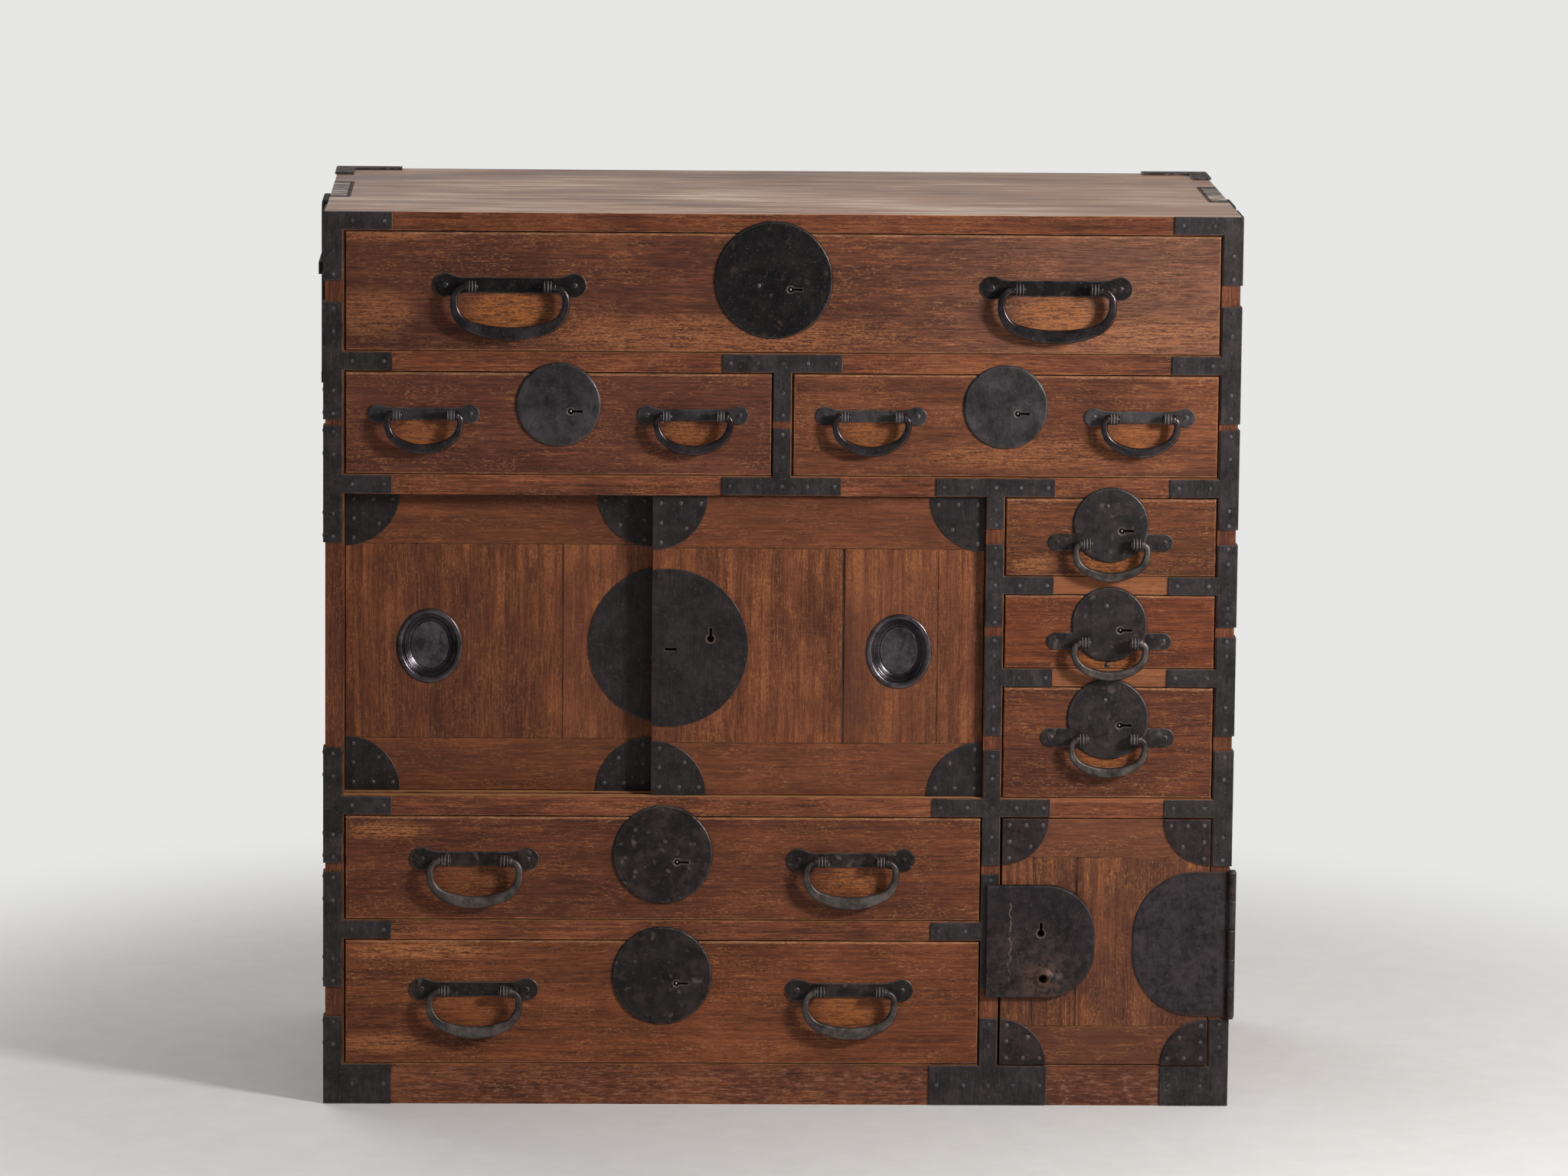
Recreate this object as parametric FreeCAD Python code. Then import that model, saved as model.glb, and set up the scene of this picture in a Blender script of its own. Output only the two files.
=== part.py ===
import FreeCAD, Part
import math
import os
from collections import namedtuple

V = FreeCAD.Vector

# Carcass: front faces -Y, the origin is on the floor under the middle of the whole chest
carcass_width = 876.0
carcass_depth = 426.0
side_thickness = 18.0
top_thickness = 18.0
bottom_thickness = 12.0
back_thickness = 9.0
base_height = 40.0
fourth_row_height = 123.0
third_row_height = 103.0
door_bay_height = 294.0
second_row_height = 100.0
top_row_height = 116.0
small_one_height = 77.0
small_two_height = 73.0
rail_height = 19.0
small_rail_height = 17.0
rail_depth = 30.0
door_rail_depth = 60.0
dust_thickness = 8.0
partition_x = 206.0
partition_thickness = 18.0
housing_depth = 6.0
back_board_count = 4
finger_count = 3
edge_chamfer = 1.0
seam_chamfer = 0.6
overrun = 1.0

# What stands out furthest: straps and corner irons, and the eyes of the handles
iron = 2.0
front_proud = 0.4
eye_reach = 13.0
eye_radius = 5.4

# Places that follow from the carcass sizes
front_reach = front_proud + eye_reach + eye_radius
front_y = front_reach - (front_reach + carcass_depth + iron) / 2
back_y = front_y + carcass_depth
half_width = carcass_width / 2
inner_x = half_width - side_thickness
inner_back_y = back_y - back_thickness
partition_x0 = partition_x - partition_thickness / 2
partition_x1 = partition_x + partition_thickness / 2
fourth_z1 = base_height + fourth_row_height
third_z0 = fourth_z1 + rail_height
third_z1 = third_z0 + third_row_height
bay_z0 = third_z1 + rail_height
bay_z1 = bay_z0 + door_bay_height
second_z0 = bay_z1 + rail_height
second_z1 = second_z0 + second_row_height
top_z0 = second_z1 + rail_height
top_z1 = top_z0 + top_row_height
carcass_height = top_z1 + top_thickness
small_one_z0 = bay_z1 - small_one_height
small_two_z1 = small_one_z0 - small_rail_height
small_two_z0 = small_two_z1 - small_two_height
small_three_z1 = small_two_z0 - small_rail_height

# Iron straps on the front and sides
strap_inset = 16.5
strap_reach = 56.5
short_reach = 40.0
corner_drop = 66.0
foot_rise = 86.5
arm_reach = 66.0
tee_reach = 57.0
arm_height = 17.0
strap_floor_gap = 0.6
strap_gap = 7.0
nail_radius = 1.9
nail_height = 0.8
nail_crown = 0.4
near_nail_share = 0.42
far_nail_share = 0.88

# Drawers
drawer_gap = 1.3
drawer_foot_gap = 0.8
slide_clearance = 0.3
drawer_front_thickness = 18.0
drawer_side_thickness = 9.0
drawer_back_thickness = 9.0
drawer_bottom_thickness = 6.0
drawer_side_inset = 0.6
drawer_rebate = 9.0
drawer_side_drop = 5.0
drawer_back_drop = 12.0
drawer_back_gap = 1.0
drawer_travel = 300.0

# Round lock plates and the locks behind them
lock_plate_thickness = 2.8
lock_plate_bevel = 1.2
keyhole_radius = 2.6
keyhole_slot = 2.2
keyhole_length = 11.5
keyhole_side_share = 0.28
keyhole_drop_share = 0.16
lock_case_width = 44.0
lock_case_depth = 8.0
lock_case_height = 30.0
lock_case_drop = 8.0
lock_bolt_width = 16.0
lock_bolt_depth = 4.0
lock_bolt_inset = 1.6
lock_bolt_gap = 0.6
lock_pocket_height = 7.0
lock_pocket_margin = 1.0

# Drawer handles: a lobed plate, two eye pins and a swinging bail
handle_plate_thickness = 1.8
eye_width = 7.0
shank_radius = 2.6
tip_radius = 2.3
tip_clearance = 0.3
tip_overrun = 1.6
bail_side_gap = 1.0
plate_hollow_radius = 34.0
bail_depth = 7.0
bail_round = 2.2
clinch_length = 9.0
clinch_thickness = 1.6
bail_round_share = 0.42
straight_side_share = 0.1
bail_corner_share = 0.83

# A bail is width across; its shoulder is the stretch from its side to the middle of an eye
Handle = namedtuple("Handle", "width drop neck side foot shoulder plate_length lobe waist")
top_handle = Handle(width=114.0, drop=52.0, neck=6.0, side=7.2, foot=13.0, shoulder=21.0,
                    plate_length=146.0, lobe=11.4, waist=14.7)
second_handle = Handle(width=76.0, drop=37.5, neck=5.4, side=6.0, foot=9.5, shoulder=12.0,
                       plate_length=106.5, lobe=9.0, waist=11.2)
long_handle = Handle(width=93.0, drop=46.5, neck=5.8, side=6.6, foot=12.0, shoulder=18.0,
                     plate_length=124.0, lobe=11.0, waist=13.6)
small_handle = Handle(width=75.0, drop=36.5, neck=5.4, side=6.0, foot=9.0, shoulder=13.5,
                      plate_length=120.0, lobe=8.1, waist=16.2)
lowest_small_handle = Handle(width=77.0, drop=37.5, neck=5.4, side=6.0, foot=9.5, shoulder=14.0,
                             plate_length=129.0, lobe=9.0, waist=18.0)

# How far handles stand from the middle of their drawer, and plate centres above it
top_handle_offset = 261.5
second_handle_offset = 129.0
long_handle_offset = 182.0
divider_thickness = 18.0
top_handle_rise = 6.2
second_handle_rise = 9.0
third_handle_rise = 9.0
fourth_handle_rise = 12.5
small_one_handle_rise = -4.7
small_two_handle_rise = -9.0
small_three_handle_rise = 5.2
top_lock_rise = 12.7
second_lock_rise = 18.6
third_lock_rise = 14.2
fourth_lock_rise = 26.6
small_one_lock_rise = 12.3
small_two_lock_rise = 7.6
small_three_lock_rise = 23.5
top_lock_shift = -9.3
top_lock_radius = 56.5
second_lock_radius = 40.5
long_lock_radius = 48.3
small_lock_radius = 36.5
lowest_small_lock_radius = 39.5

Drawer = namedtuple("Drawer", "name x0 x1 z0 z1 handle offsets handle_rise lock_x lock_rise lock_radius")
drawers = [
    Drawer("top_drawer", -inner_x, inner_x, top_z0, top_z1, top_handle,
           (("left", -top_handle_offset), ("right", top_handle_offset)), top_handle_rise,
           top_lock_shift, top_lock_rise, top_lock_radius),
    Drawer("upper_left_drawer", -inner_x, -divider_thickness / 2, second_z0, second_z1, second_handle,
           (("left", -second_handle_offset), ("right", second_handle_offset)), second_handle_rise,
           0, second_lock_rise, second_lock_radius),
    Drawer("upper_right_drawer", divider_thickness / 2, inner_x, second_z0, second_z1, second_handle,
           (("left", -second_handle_offset), ("right", second_handle_offset)), second_handle_rise,
           0, second_lock_rise, second_lock_radius),
    Drawer("long_drawer", -inner_x, partition_x0, third_z0, third_z1, long_handle,
           (("left", -long_handle_offset), ("right", long_handle_offset)), third_handle_rise,
           0, third_lock_rise, long_lock_radius),
    Drawer("bottom_drawer", -inner_x, partition_x0, base_height, fourth_z1, long_handle,
           (("left", -long_handle_offset), ("right", long_handle_offset)), fourth_handle_rise,
           0, fourth_lock_rise, long_lock_radius),
    Drawer("small_drawer_one", partition_x1, inner_x, small_one_z0, bay_z1, small_handle,
           (("middle", 0),), small_one_handle_rise, 0, small_one_lock_rise, small_lock_radius),
    Drawer("small_drawer_two", partition_x1, inner_x, small_two_z0, small_two_z1, small_handle,
           (("middle", 0),), small_two_handle_rise, 0, small_two_lock_rise, small_lock_radius),
    Drawer("small_drawer_three", partition_x1, inner_x, bay_z0, small_three_z1, lowest_small_handle,
           (("middle", 0),), small_three_handle_rise, 0, small_three_lock_rise, lowest_small_lock_radius),
]

# Upright keyholes of the doors
door_key_radius = 3.3
door_key_slot = 2.6
door_key_length = 10.5

# Sliding doors of the wide bay
door_recess = 8.0
door_thickness = 18.0
door_spacing = 3.5
door_overlap = 24.0
door_end_gap = 0.5
door_shoulder_gap = 0.6
door_head_gap = 1.2
door_batten = 51.0
door_tongue_thickness = 8.0
door_tongue_gap = 0.5
lower_tongue = 2.7
upper_tongue = 6.0
lower_groove = 3.0
upper_groove = 8.0
door_travel = 288.0
board_tongue = 6.0
board_tongue_thickness = 6.0
front_door_seam_shares = (0.577, 0.86)
rear_door_seam_shares = (0.655,)
door_iron = 1.5
door_corner_radius = 53.0
split_plate_radius = 77.0
split_plate_inset = 16.0
split_plate_drop = 2.4
split_plate_margin = 0.4
pull_inset = 81.5
pull_drop = 5.0
pull_half_width = 31.7
pull_half_height = 36.5
pull_rim = 6.0
pull_bevel = 1.0
pull_rim_height = 1.9
pull_cup_depth = 7.0
pull_wall = 1.2
door_keyhole_side = 40.4
door_keyhole_rise = 9.0
door_slot_side = 1.9
door_slot_drop = 1.5
door_bolt_length = 12.0
door_bolt_width = 11.0
door_bolt_height = 2.4
door_bolt_setback = 0.5
door_bolt_travel = 9.0
door_bolt_socket = 8.0
bolt_clearance = 0.35

# Hinged cupboard door
cupboard_free_gap = 2.0
cupboard_hinge_gap = 1.2
cupboard_foot_gap = 1.0
cupboard_head_gap = 1.2
cupboard_batten = 38.0
cupboard_seam_shares = (0.15, 0.36)
cupboard_corner_radius = 45.0
cupboard_swing = 170.0
hasp_corner = 47.0
hasp_width = 105.5
hasp_height = 110.5
hasp_left = 12.7
hasp_rise = 1.2
hasp_depth = 7.0
hasp_wall = 1.8
hasp_overhang_gap = 0.7
hasp_keyhole_side = 53.0
hasp_keyhole_rise = 9.5
hasp_boss_side = 55.5
hasp_boss_drop = 35.0
hasp_boss_radius = 10.5
hasp_boss_top_radius = 6.5
hasp_boss_height = 2.6
hasp_boss_hole = 4.2
hasp_boss_stem = 3.0

# Bolt and box lock on the inside of the cupboard door
inner_lock_inset = 6.0
inner_lock_width = 46.0
inner_lock_depth = 10.0
inner_lock_height = 36.0
inner_lock_wall = 2.0
inner_bolt_length = 34.0
inner_bolt_depth = 4.0
inner_bolt_height = 12.0
inner_bolt_tip = 0.5
inner_bolt_travel = 8.0
inner_bolt_socket = 9.0

# Corner hinge of the cupboard door
hinge_height = 143.0
hinge_rise = 1.5
hinge_leaf_width = 91.0
hinge_corner = 62.0
hinge_pin_radius = 1.9
hinge_pin_clearance = 0.08
hinge_barrel_radius = 3.9
hinge_axis_side = 2.6
hinge_axis_front = 4.3
hinge_knuckles = 5
hinge_knuckle_gap = 0.5
hinge_leaf_gap = 0.9
hinge_side_leaf = 26.0
hinge_pin_head = 2.0
hinge_pin_head_radius = 3.2

# Lifting loops that take the carrying pole
loop_width = 90.0
loop_height = 172.0
loop_top_gap = 5.0
loop_bar = 8.0
loop_bar_depth = 7.0
loop_bend = 14.0
loop_round = 1.6
loop_stand_off = 1.2
loop_setback_share = 0.44
loop_foot_width = 20.0
loop_foot_height = 6.0
guide_height = 12.0
guide_thickness = 2.4
guide_ear = 20.0
guide_clearance = 0.4
guide_drop = 64.0
rest_height = 5.0
rest_gap = 0.3
loop_stop_gap = 1.0


def box(x0, x1, y0, y1, z0, z1):
    """Block between two opposite corners, given in any order."""
    low = V(min(x0, x1), min(y0, y1), min(z0, z1))
    return Part.makeBox(abs(x1 - x0), abs(y1 - y0), abs(z1 - z0), low)


def group(solids):
    """Separate solids that share one node."""
    return Part.makeCompound(list(solids))


def fused(solids):
    """One solid from several that touch or overlap."""
    first, rest = solids[0], solids[1:]
    return first.fuse(rest).removeSplitter().Solids[0] if rest else first


def front_chamfer(solid, size):
    """Ease the edges that run round a block's front face."""
    low = solid.BoundBox.YMin
    edges = [edge for edge in solid.Edges
             if all(abs(vertex.Y - low) < size / 2 for vertex in edge.Vertexes)]
    return solid.makeChamfer(size, edges)


def disc(x, z, radius, back, thickness):
    """Cylinder standing out of the front from the plane at back."""
    return Part.makeCylinder(radius, thickness, V(x, back, z), V(0, -1, 0))


def round_plate(x, z, radius, back, thickness, bevel):
    """Round iron plate with a bevelled rim."""
    crown = Part.makeCone(radius, radius - bevel, bevel, V(x, back - thickness + bevel, z), V(0, -1, 0))
    return fused([disc(x, z, radius, back, thickness - bevel), crown])


def nail(x, z, back):
    """Low domed nail head on the front."""
    crown = Part.makeCone(nail_radius, nail_radius - nail_crown, nail_crown,
                          V(x, back - nail_height + nail_crown, z), V(0, -1, 0))
    return fused([disc(x, z, nail_radius, back, nail_height - nail_crown), crown])


def side_nail(side, y, z, surface):
    """Low domed nail head on a side; surface is the distance of its seat from the middle."""
    out = V(side, 0, 0)
    body = Part.makeCylinder(nail_radius, nail_height - nail_crown, V(side * surface, y, z), out)
    crown = Part.makeCone(nail_radius, nail_radius - nail_crown, nail_crown,
                          V(side * (surface + nail_height - nail_crown), y, z), out)
    return fused([body, crown])


def keyhole(x, z, front, depth):
    """Cutter for a drawer's keyhole: round, with its slot to the right."""
    hole = disc(x, z, keyhole_radius, front + depth, depth + overrun)
    half = keyhole_slot / 2
    slot = box(x, x + keyhole_length, front - overrun, front + depth, z - half, z + half)
    return fused([hole, slot])


def door_keyhole(x, z, front, depth):
    """Cutter for a door's larger keyhole: round, with its slot above."""
    hole = disc(x, z, door_key_radius, front + depth, depth + overrun)
    half = door_key_slot / 2
    slot = box(x - half, x + half, front - overrun, front + depth, z, z + door_key_length)
    return fused([hole, slot])


# The carcass

def rails():
    """Front rails: base, one over each row, and two in the right column; ends housed in the sides."""
    spans = [
        (-inner_x, inner_x, 0, base_height, rail_depth),
        (-inner_x, partition_x0, fourth_z1, third_z0, rail_depth),
        (-inner_x, partition_x0, third_z1, bay_z0, door_rail_depth),
        (partition_x1, inner_x, third_z1, bay_z0, rail_depth),
        (-inner_x, inner_x, bay_z1, second_z0, door_rail_depth),
        (-inner_x, inner_x, second_z1, top_z0, rail_depth),
        (partition_x1, inner_x, small_two_z1, small_one_z0, rail_depth),
        (partition_x1, inner_x, small_three_z1, small_two_z0, rail_depth),
    ]
    return [box(x0 - housing_depth, x1 + housing_depth, front_y, front_y + depth, z0, z1)
            for x0, x1, z0, z1, depth in spans]


def dust_boards():
    """Thin boards behind the rails that close each row and carry the drawers above."""
    spans = [
        (-inner_x, partition_x0, third_z0, rail_depth),
        (-inner_x, partition_x0, bay_z0, door_rail_depth),
        (partition_x1, inner_x, bay_z0, rail_depth),
        (-inner_x, inner_x, second_z0, door_rail_depth),
        (-inner_x, inner_x, top_z0, rail_depth),
        (partition_x1, inner_x, small_one_z0, rail_depth),
        (partition_x1, inner_x, small_two_z0, rail_depth),
    ]
    return [box(x0 - housing_depth, x1 + housing_depth, front_y + depth, inner_back_y, z1 - dust_thickness, z1)
            for x0, x1, z1, depth in spans]


def bottom_board():
    """Floor of the lowest row, housed in both sides."""
    return box(-inner_x - housing_depth, inner_x + housing_depth, front_y + rail_depth, inner_back_y,
               base_height - bottom_thickness, base_height)


def partitions(cutters):
    """Main partition under the second row, and the short divider between its two drawers."""
    main = box(partition_x0, partition_x1, front_y, inner_back_y, base_height, second_z0)
    half = divider_thickness / 2
    short = box(-half, half, front_y, inner_back_y, second_z0, top_z0)
    mortise = box(partition_x1 - inner_bolt_socket, partition_x1 + overrun,
                  inner_bolt_y0() - bolt_clearance, inner_bolt_y0() + inner_bolt_depth + bolt_clearance,
                  inner_bolt_z() - inner_bolt_height / 2 - bolt_clearance,
                  inner_bolt_z() + inner_bolt_height / 2 + bolt_clearance)
    return [main.cut(cutters + [mortise]), short.cut(cutters)]


def finger(side):
    """Stretch of the side board that comes up through the top board."""
    width = carcass_depth / finger_count
    return box(side * inner_x, side * half_width, front_y + width, front_y + 2 * width, top_z1, carcass_height)


def side_boards(cutters):
    """Left and right sides, with housings for rails and boards and a finger at the top."""
    boards = []
    for side in (-1, 1):
        board = box(side * inner_x, side * half_width, front_y, back_y, 0, top_z1)
        boards.append(fused([board, finger(side)]).cut(cutters))
    return boards


def top_board(pockets):
    """Top, let down over the fingers of the sides."""
    board = box(-half_width, half_width, front_y, back_y, top_z1, carcass_height)
    return board.cut([finger(-1), finger(1)] + pockets)


def back_boards():
    """Horizontal planks that close the back between the sides."""
    low = base_height - bottom_thickness
    step = (top_z1 - low) / back_board_count
    return [box(-inner_x, inner_x, inner_back_y, back_y, low + step * count, low + step * (count + 1))
            for count in range(back_board_count)]


def lock_pockets():
    """Pockets above each drawer lock where its bolt goes up."""
    y0 = lock_bolt_y() - lock_pocket_margin
    y1 = lock_bolt_y() + lock_bolt_depth + lock_pocket_margin
    half = lock_bolt_width / 2 + lock_pocket_margin
    pockets = []
    for drawer in drawers:
        x = lock_centre(drawer)[0]
        pockets.append(box(x - half, x + half, y0, y1, drawer.z1 - overrun, drawer.z1 + lock_pocket_height))
    return pockets


def door_grooves():
    """Two pairs of grooves in which the sliding doors run."""
    cutters = []
    half = door_tongue_thickness / 2 + door_tongue_gap
    for face in (front_door_y(), rear_door_y()):
        y = face + door_thickness / 2
        cutters.append(box(-inner_x, partition_x0, y - half, y + half, bay_z0 - lower_groove, bay_z0 + overrun))
        cutters.append(box(-inner_x, partition_x0, y - half, y + half, bay_z1 - overrun, bay_z1 + upper_groove))
    return cutters


# The straps and nails of the carcass

def stile_strap(side, z0, z1, arm0, arm1):
    """Corner strap on the front edge of a side board, with one arm on the front and one on the side."""
    edge = side * (half_width + iron)
    face = front_y - iron
    leg = box(edge, side * (half_width - strap_inset), face, front_y, z0, z1)
    arm = box(edge, edge - side * arm_reach, face, front_y, arm0, arm1)
    side_leg = box(edge, side * half_width, face, front_y + strap_inset, z0, z1)
    side_arm = box(edge, side * half_width, face, face + arm_reach, arm0, arm1)
    return fused([leg, arm, side_leg, side_arm])


def stile_nails(side, z0, z1, arm0, arm1):
    """Nails of one corner strap: two along each arm and one or two along each stretch of leg."""
    face = front_y - iron
    surface = half_width + iron
    leg_middle = (iron + strap_inset) / 2
    x = side * (surface - leg_middle)
    y = face + leg_middle
    z = (arm0 + arm1) / 2
    heads = []
    for share in (near_nail_share, far_nail_share):
        reach = arm_reach * share
        heads.append(nail(side * (surface - reach), z, face))
        heads.append(side_nail(side, face + reach, z, surface))
    for stretch in (z1 - arm1, z0 - arm0):
        start = arm1 if stretch > 0 else arm0
        for share in (near_nail_share, far_nail_share):
            if abs(stretch) > arm_height:
                heads.append(nail(x, start + stretch * share, face))
                heads.append(side_nail(side, y, start + stretch * share, surface))
    return heads


def cross_strap(x, z0, z1, arm0, arm1, left, right):
    """Flat strap on a partition edge, with arms left and right over the rail."""
    half = strap_inset / 2
    leg = box(x - half, x + half, front_y - iron, front_y, z0, z1)
    arm = box(x - max(left, half), x + max(right, half), front_y - iron, front_y, arm0, arm1)
    return fused([leg, arm])


def cross_nails(x, z0, z1, arm0, arm1, left, right):
    """Nails of one flat strap."""
    face = front_y - iron
    z = (arm0 + arm1) / 2
    heads = [nail(x, z, face)]
    for reach in (-left, right):
        if abs(reach) > strap_inset:
            heads += [nail(x + reach * share, z, face) for share in (near_nail_share, far_nail_share)]
    for start, stretch in ((arm1, z1 - arm1), (arm0, z0 - arm0)):
        if abs(stretch) > arm_height:
            heads += [nail(x, start + stretch * share, face) for share in (near_nail_share, far_nail_share)]
    return heads


def rail_band(z0, z1):
    """Lower and upper edge of the strap arm that lies on the rail between z0 and z1."""
    middle = (z0 + z1) / 2
    half = min(arm_height, z1 - z0) / 2
    return middle - half, middle + half


def strap_layout():
    """Places of all straps: stile straps by side, flat straps by partition."""
    rail_a = rail_band(second_z1, top_z0)
    rail_b = rail_band(bay_z1, second_z0)
    rail_c = rail_band(third_z1, bay_z0)
    rail_d = rail_band(fourth_z1, third_z0)
    small_a = rail_band(small_two_z1, small_one_z0)
    small_b = rail_band(small_three_z1, small_two_z0)
    base = (strap_floor_gap, base_height - (rail_height - arm_height) / 2)
    top = (carcass_height - arm_height, carcass_height)
    corner = (carcass_height - corner_drop, carcass_height) + top
    foot = (strap_floor_gap, foot_rise) + base

    def about(band, low, high):
        middle = (band[0] + band[1]) / 2
        return (middle - low, middle + high) + band

    full = (strap_reach, strap_reach)
    left = [corner, about(rail_a, *full), about(rail_b, *full), about(rail_c, *full), about(rail_d, *full), foot]
    right = [corner, about(rail_a, *full), about(rail_b, short_reach, strap_reach),
             about(small_a, short_reach, short_reach), about(small_b, strap_reach, short_reach),
             about(rail_c, *full), foot]
    stiles = [(-1,) + place for place in left] + [(1,) + place for place in right]
    middle_z = (second_z0 + second_z1) / 2
    half_gap = strap_gap / 2
    flats = [
        (0, middle_z + half_gap, rail_a[1]) + rail_a + (tee_reach, tee_reach),
        (0, rail_b[0], middle_z - half_gap) + rail_b + (tee_reach, tee_reach),
        (partition_x,) + about(rail_b, short_reach, arm_height / 2) + (tee_reach, tee_reach),
        (partition_x,) + about(small_a, short_reach, short_reach) + (0, tee_reach),
        (partition_x,) + about(small_b, strap_reach, short_reach) + (0, tee_reach),
        (partition_x,) + about(rail_c, *full) + (tee_reach, tee_reach),
        (partition_x,) + about(rail_d, *full) + (tee_reach, 0),
        (partition_x,) + foot + (tee_reach, tee_reach),
    ]
    return stiles, flats


def back_corner_iron(side, upper):
    """Three-way iron on a back corner; the lower ones leave out the leaf under the chest."""
    edge = side * (half_width + iron)
    inner = side * (half_width - strap_inset)
    face = back_y + iron
    if upper:
        z0, z1 = carcass_height - corner_drop, carcass_height + iron
    else:
        z0, z1 = strap_floor_gap, foot_rise
    side_leaf = box(edge, side * half_width, face, back_y - strap_inset, z0, z1)
    back_leaf = box(edge, inner, face, back_y, z0, z1)
    leaves = [side_leaf, back_leaf]
    if upper:
        leaves.append(box(edge, inner, face, face - arm_reach, carcass_height, z1))
        leaves.append(box(edge, edge - side * arm_reach, face, back_y - strap_inset, carcass_height, z1))
    return fused(leaves)


# Drawers

def drawer_face_y():
    """Front face of every drawer and of the cupboard door."""
    return front_y - front_proud


def drawer_inner_y():
    """Inside face of a drawer front."""
    return drawer_face_y() + drawer_front_thickness


def lock_bolt_y():
    """Front of the bolts of the drawer locks."""
    return drawer_inner_y() + lock_bolt_inset


def lock_centre(drawer):
    """Centre of a drawer's lock plate."""
    return ((drawer.x0 + drawer.x1) / 2 + drawer.lock_x, (drawer.z0 + drawer.z1) / 2 + drawer.lock_rise)


def handle_centres(drawer):
    """Name and centre of each handle, at the height of its eyes."""
    x = (drawer.x0 + drawer.x1) / 2
    z = (drawer.z0 + drawer.z1) / 2 + drawer.handle_rise
    return [(name, x + offset, z) for name, offset in drawer.offsets]


def eye_pin(x, z):
    """Split pin: an eye for the bail's tip, a shank through the wood, and legs bent over inside."""
    eye_y = drawer_face_y() - eye_reach
    inner = drawer_inner_y()
    eye = Part.makeCylinder(eye_radius, eye_width, V(x - eye_width / 2, eye_y, z), V(1, 0, 0))
    shank = Part.makeCylinder(shank_radius, inner - eye_y, V(x, eye_y, z), V(0, 1, 0))
    legs = box(x - clinch_length, x + clinch_length, inner, inner + clinch_thickness,
               z - shank_radius / 2, z + shank_radius / 2)
    root = Part.makeCylinder(shank_radius, clinch_thickness, V(x, inner, z), V(0, 1, 0))
    hole = Part.makeCylinder(tip_radius + tip_clearance, eye_width + 2 * overrun,
                             V(x - eye_width / 2 - overrun, eye_y, z), V(1, 0, 0))
    return fused([eye, shank, root, legs]).cut(hole)


def shank_cutter(x, z):
    """Hole for an eye pin's shank."""
    return disc(x, z, shank_radius, drawer_inner_y() + overrun, drawer_front_thickness + eye_reach / 2)


def handle_plate(handle, x, z):
    """Narrow plate with a round lobe at each end, under the eyes."""
    half = handle.plate_length / 2 - handle.lobe
    waist = handle.waist / 2
    back = drawer_face_y()
    if waist >= handle.lobe:
        bar = box(x - half, x + half, back - handle_plate_thickness, back, z - waist, z + waist)
        lobes = [disc(x + sign * half, z, handle.lobe, back, handle_plate_thickness) for sign in (-1, 1)]
        return fused([bar] + lobes)
    hollow = plate_hollow_radius
    rise = waist + hollow
    run = math.sqrt((handle.lobe + hollow) ** 2 - rise ** 2)
    share = handle.lobe / (handle.lobe + hollow)
    half_turn = math.atan2(run, rise) / 2
    edges = []
    for sign in (-1, 1):
        centre = x + sign * half
        bend_x = centre - sign * run
        tip = V(centre + sign * handle.lobe, back, z)
        upper = V(centre - sign * run * share, back, z + rise * share)
        lower = V(centre - sign * run * share, back, z - rise * share)
        edges.append(Part.Arc(upper, tip, lower).toShape())
        for point, sense in ((upper, 1), (lower, -1)):
            middle = V(bend_x + sign * hollow * math.sin(half_turn), back,
                       z + sense * (rise - hollow * math.cos(half_turn)))
            edges.append(Part.Arc(point, middle, V(bend_x, back, z + sense * waist)).toShape())
    for sense in (1, -1):
        edges.append(Part.makeLine(V(x - half + run, back, z + sense * waist),
                                   V(x + half - run, back, z + sense * waist)))
    face = Part.Face(Part.Wire(Part.__sortEdges__(edges)))
    return face.extrude(V(0, -handle_plate_thickness, 0))


def eye_spacing(handle):
    """Distance between the two eyes of a handle."""
    return handle.width - 2 * handle.shoulder


def bail_half_outline(side, top, start, bottom):
    """Right half of a bail's outer or inner edge, from its neck down to the middle of its foot."""
    neck_radius = side - start
    slant = neck_radius * math.sqrt(0.5)
    neck_z = top - neck_radius
    corner_z = neck_z - straight_side_share * (neck_z - bottom)
    height = corner_z - bottom
    corner = bail_corner_share * height
    corner_x = side - corner
    belly = (corner_x ** 2 + height ** 2 - corner ** 2) / (2 * (height - corner))
    belly_z = bottom + belly
    fall = math.atan2(belly_z - corner_z, corner_x)
    meet = V(corner_x + corner * math.cos(fall), 0, corner_z - corner * math.sin(fall))
    half_belly = (math.pi / 2 - fall) / 2
    edges = [
        Part.Arc(V(start, 0, top), V(start + slant, 0, neck_z + slant), V(side, 0, neck_z)),
        Part.LineSegment(V(side, 0, neck_z), V(side, 0, corner_z)),
        Part.Arc(V(side, 0, corner_z),
                 V(corner_x + corner * math.cos(fall / 2), 0, corner_z - corner * math.sin(fall / 2)), meet),
        Part.Arc(meet, V(belly * math.sin(half_belly), 0, belly_z - belly * math.cos(half_belly)),
                 V(0, 0, bottom)),
    ]
    return [edge.toShape() for edge in edges]


def at_neck(edge, start):
    """True for the edges of the flat ends beside the eyes."""
    bounds = edge.BoundBox
    return bounds.XLength < bail_side_gap / 2 and abs(abs(bounds.Center.x) - start) < bail_side_gap / 2


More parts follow.
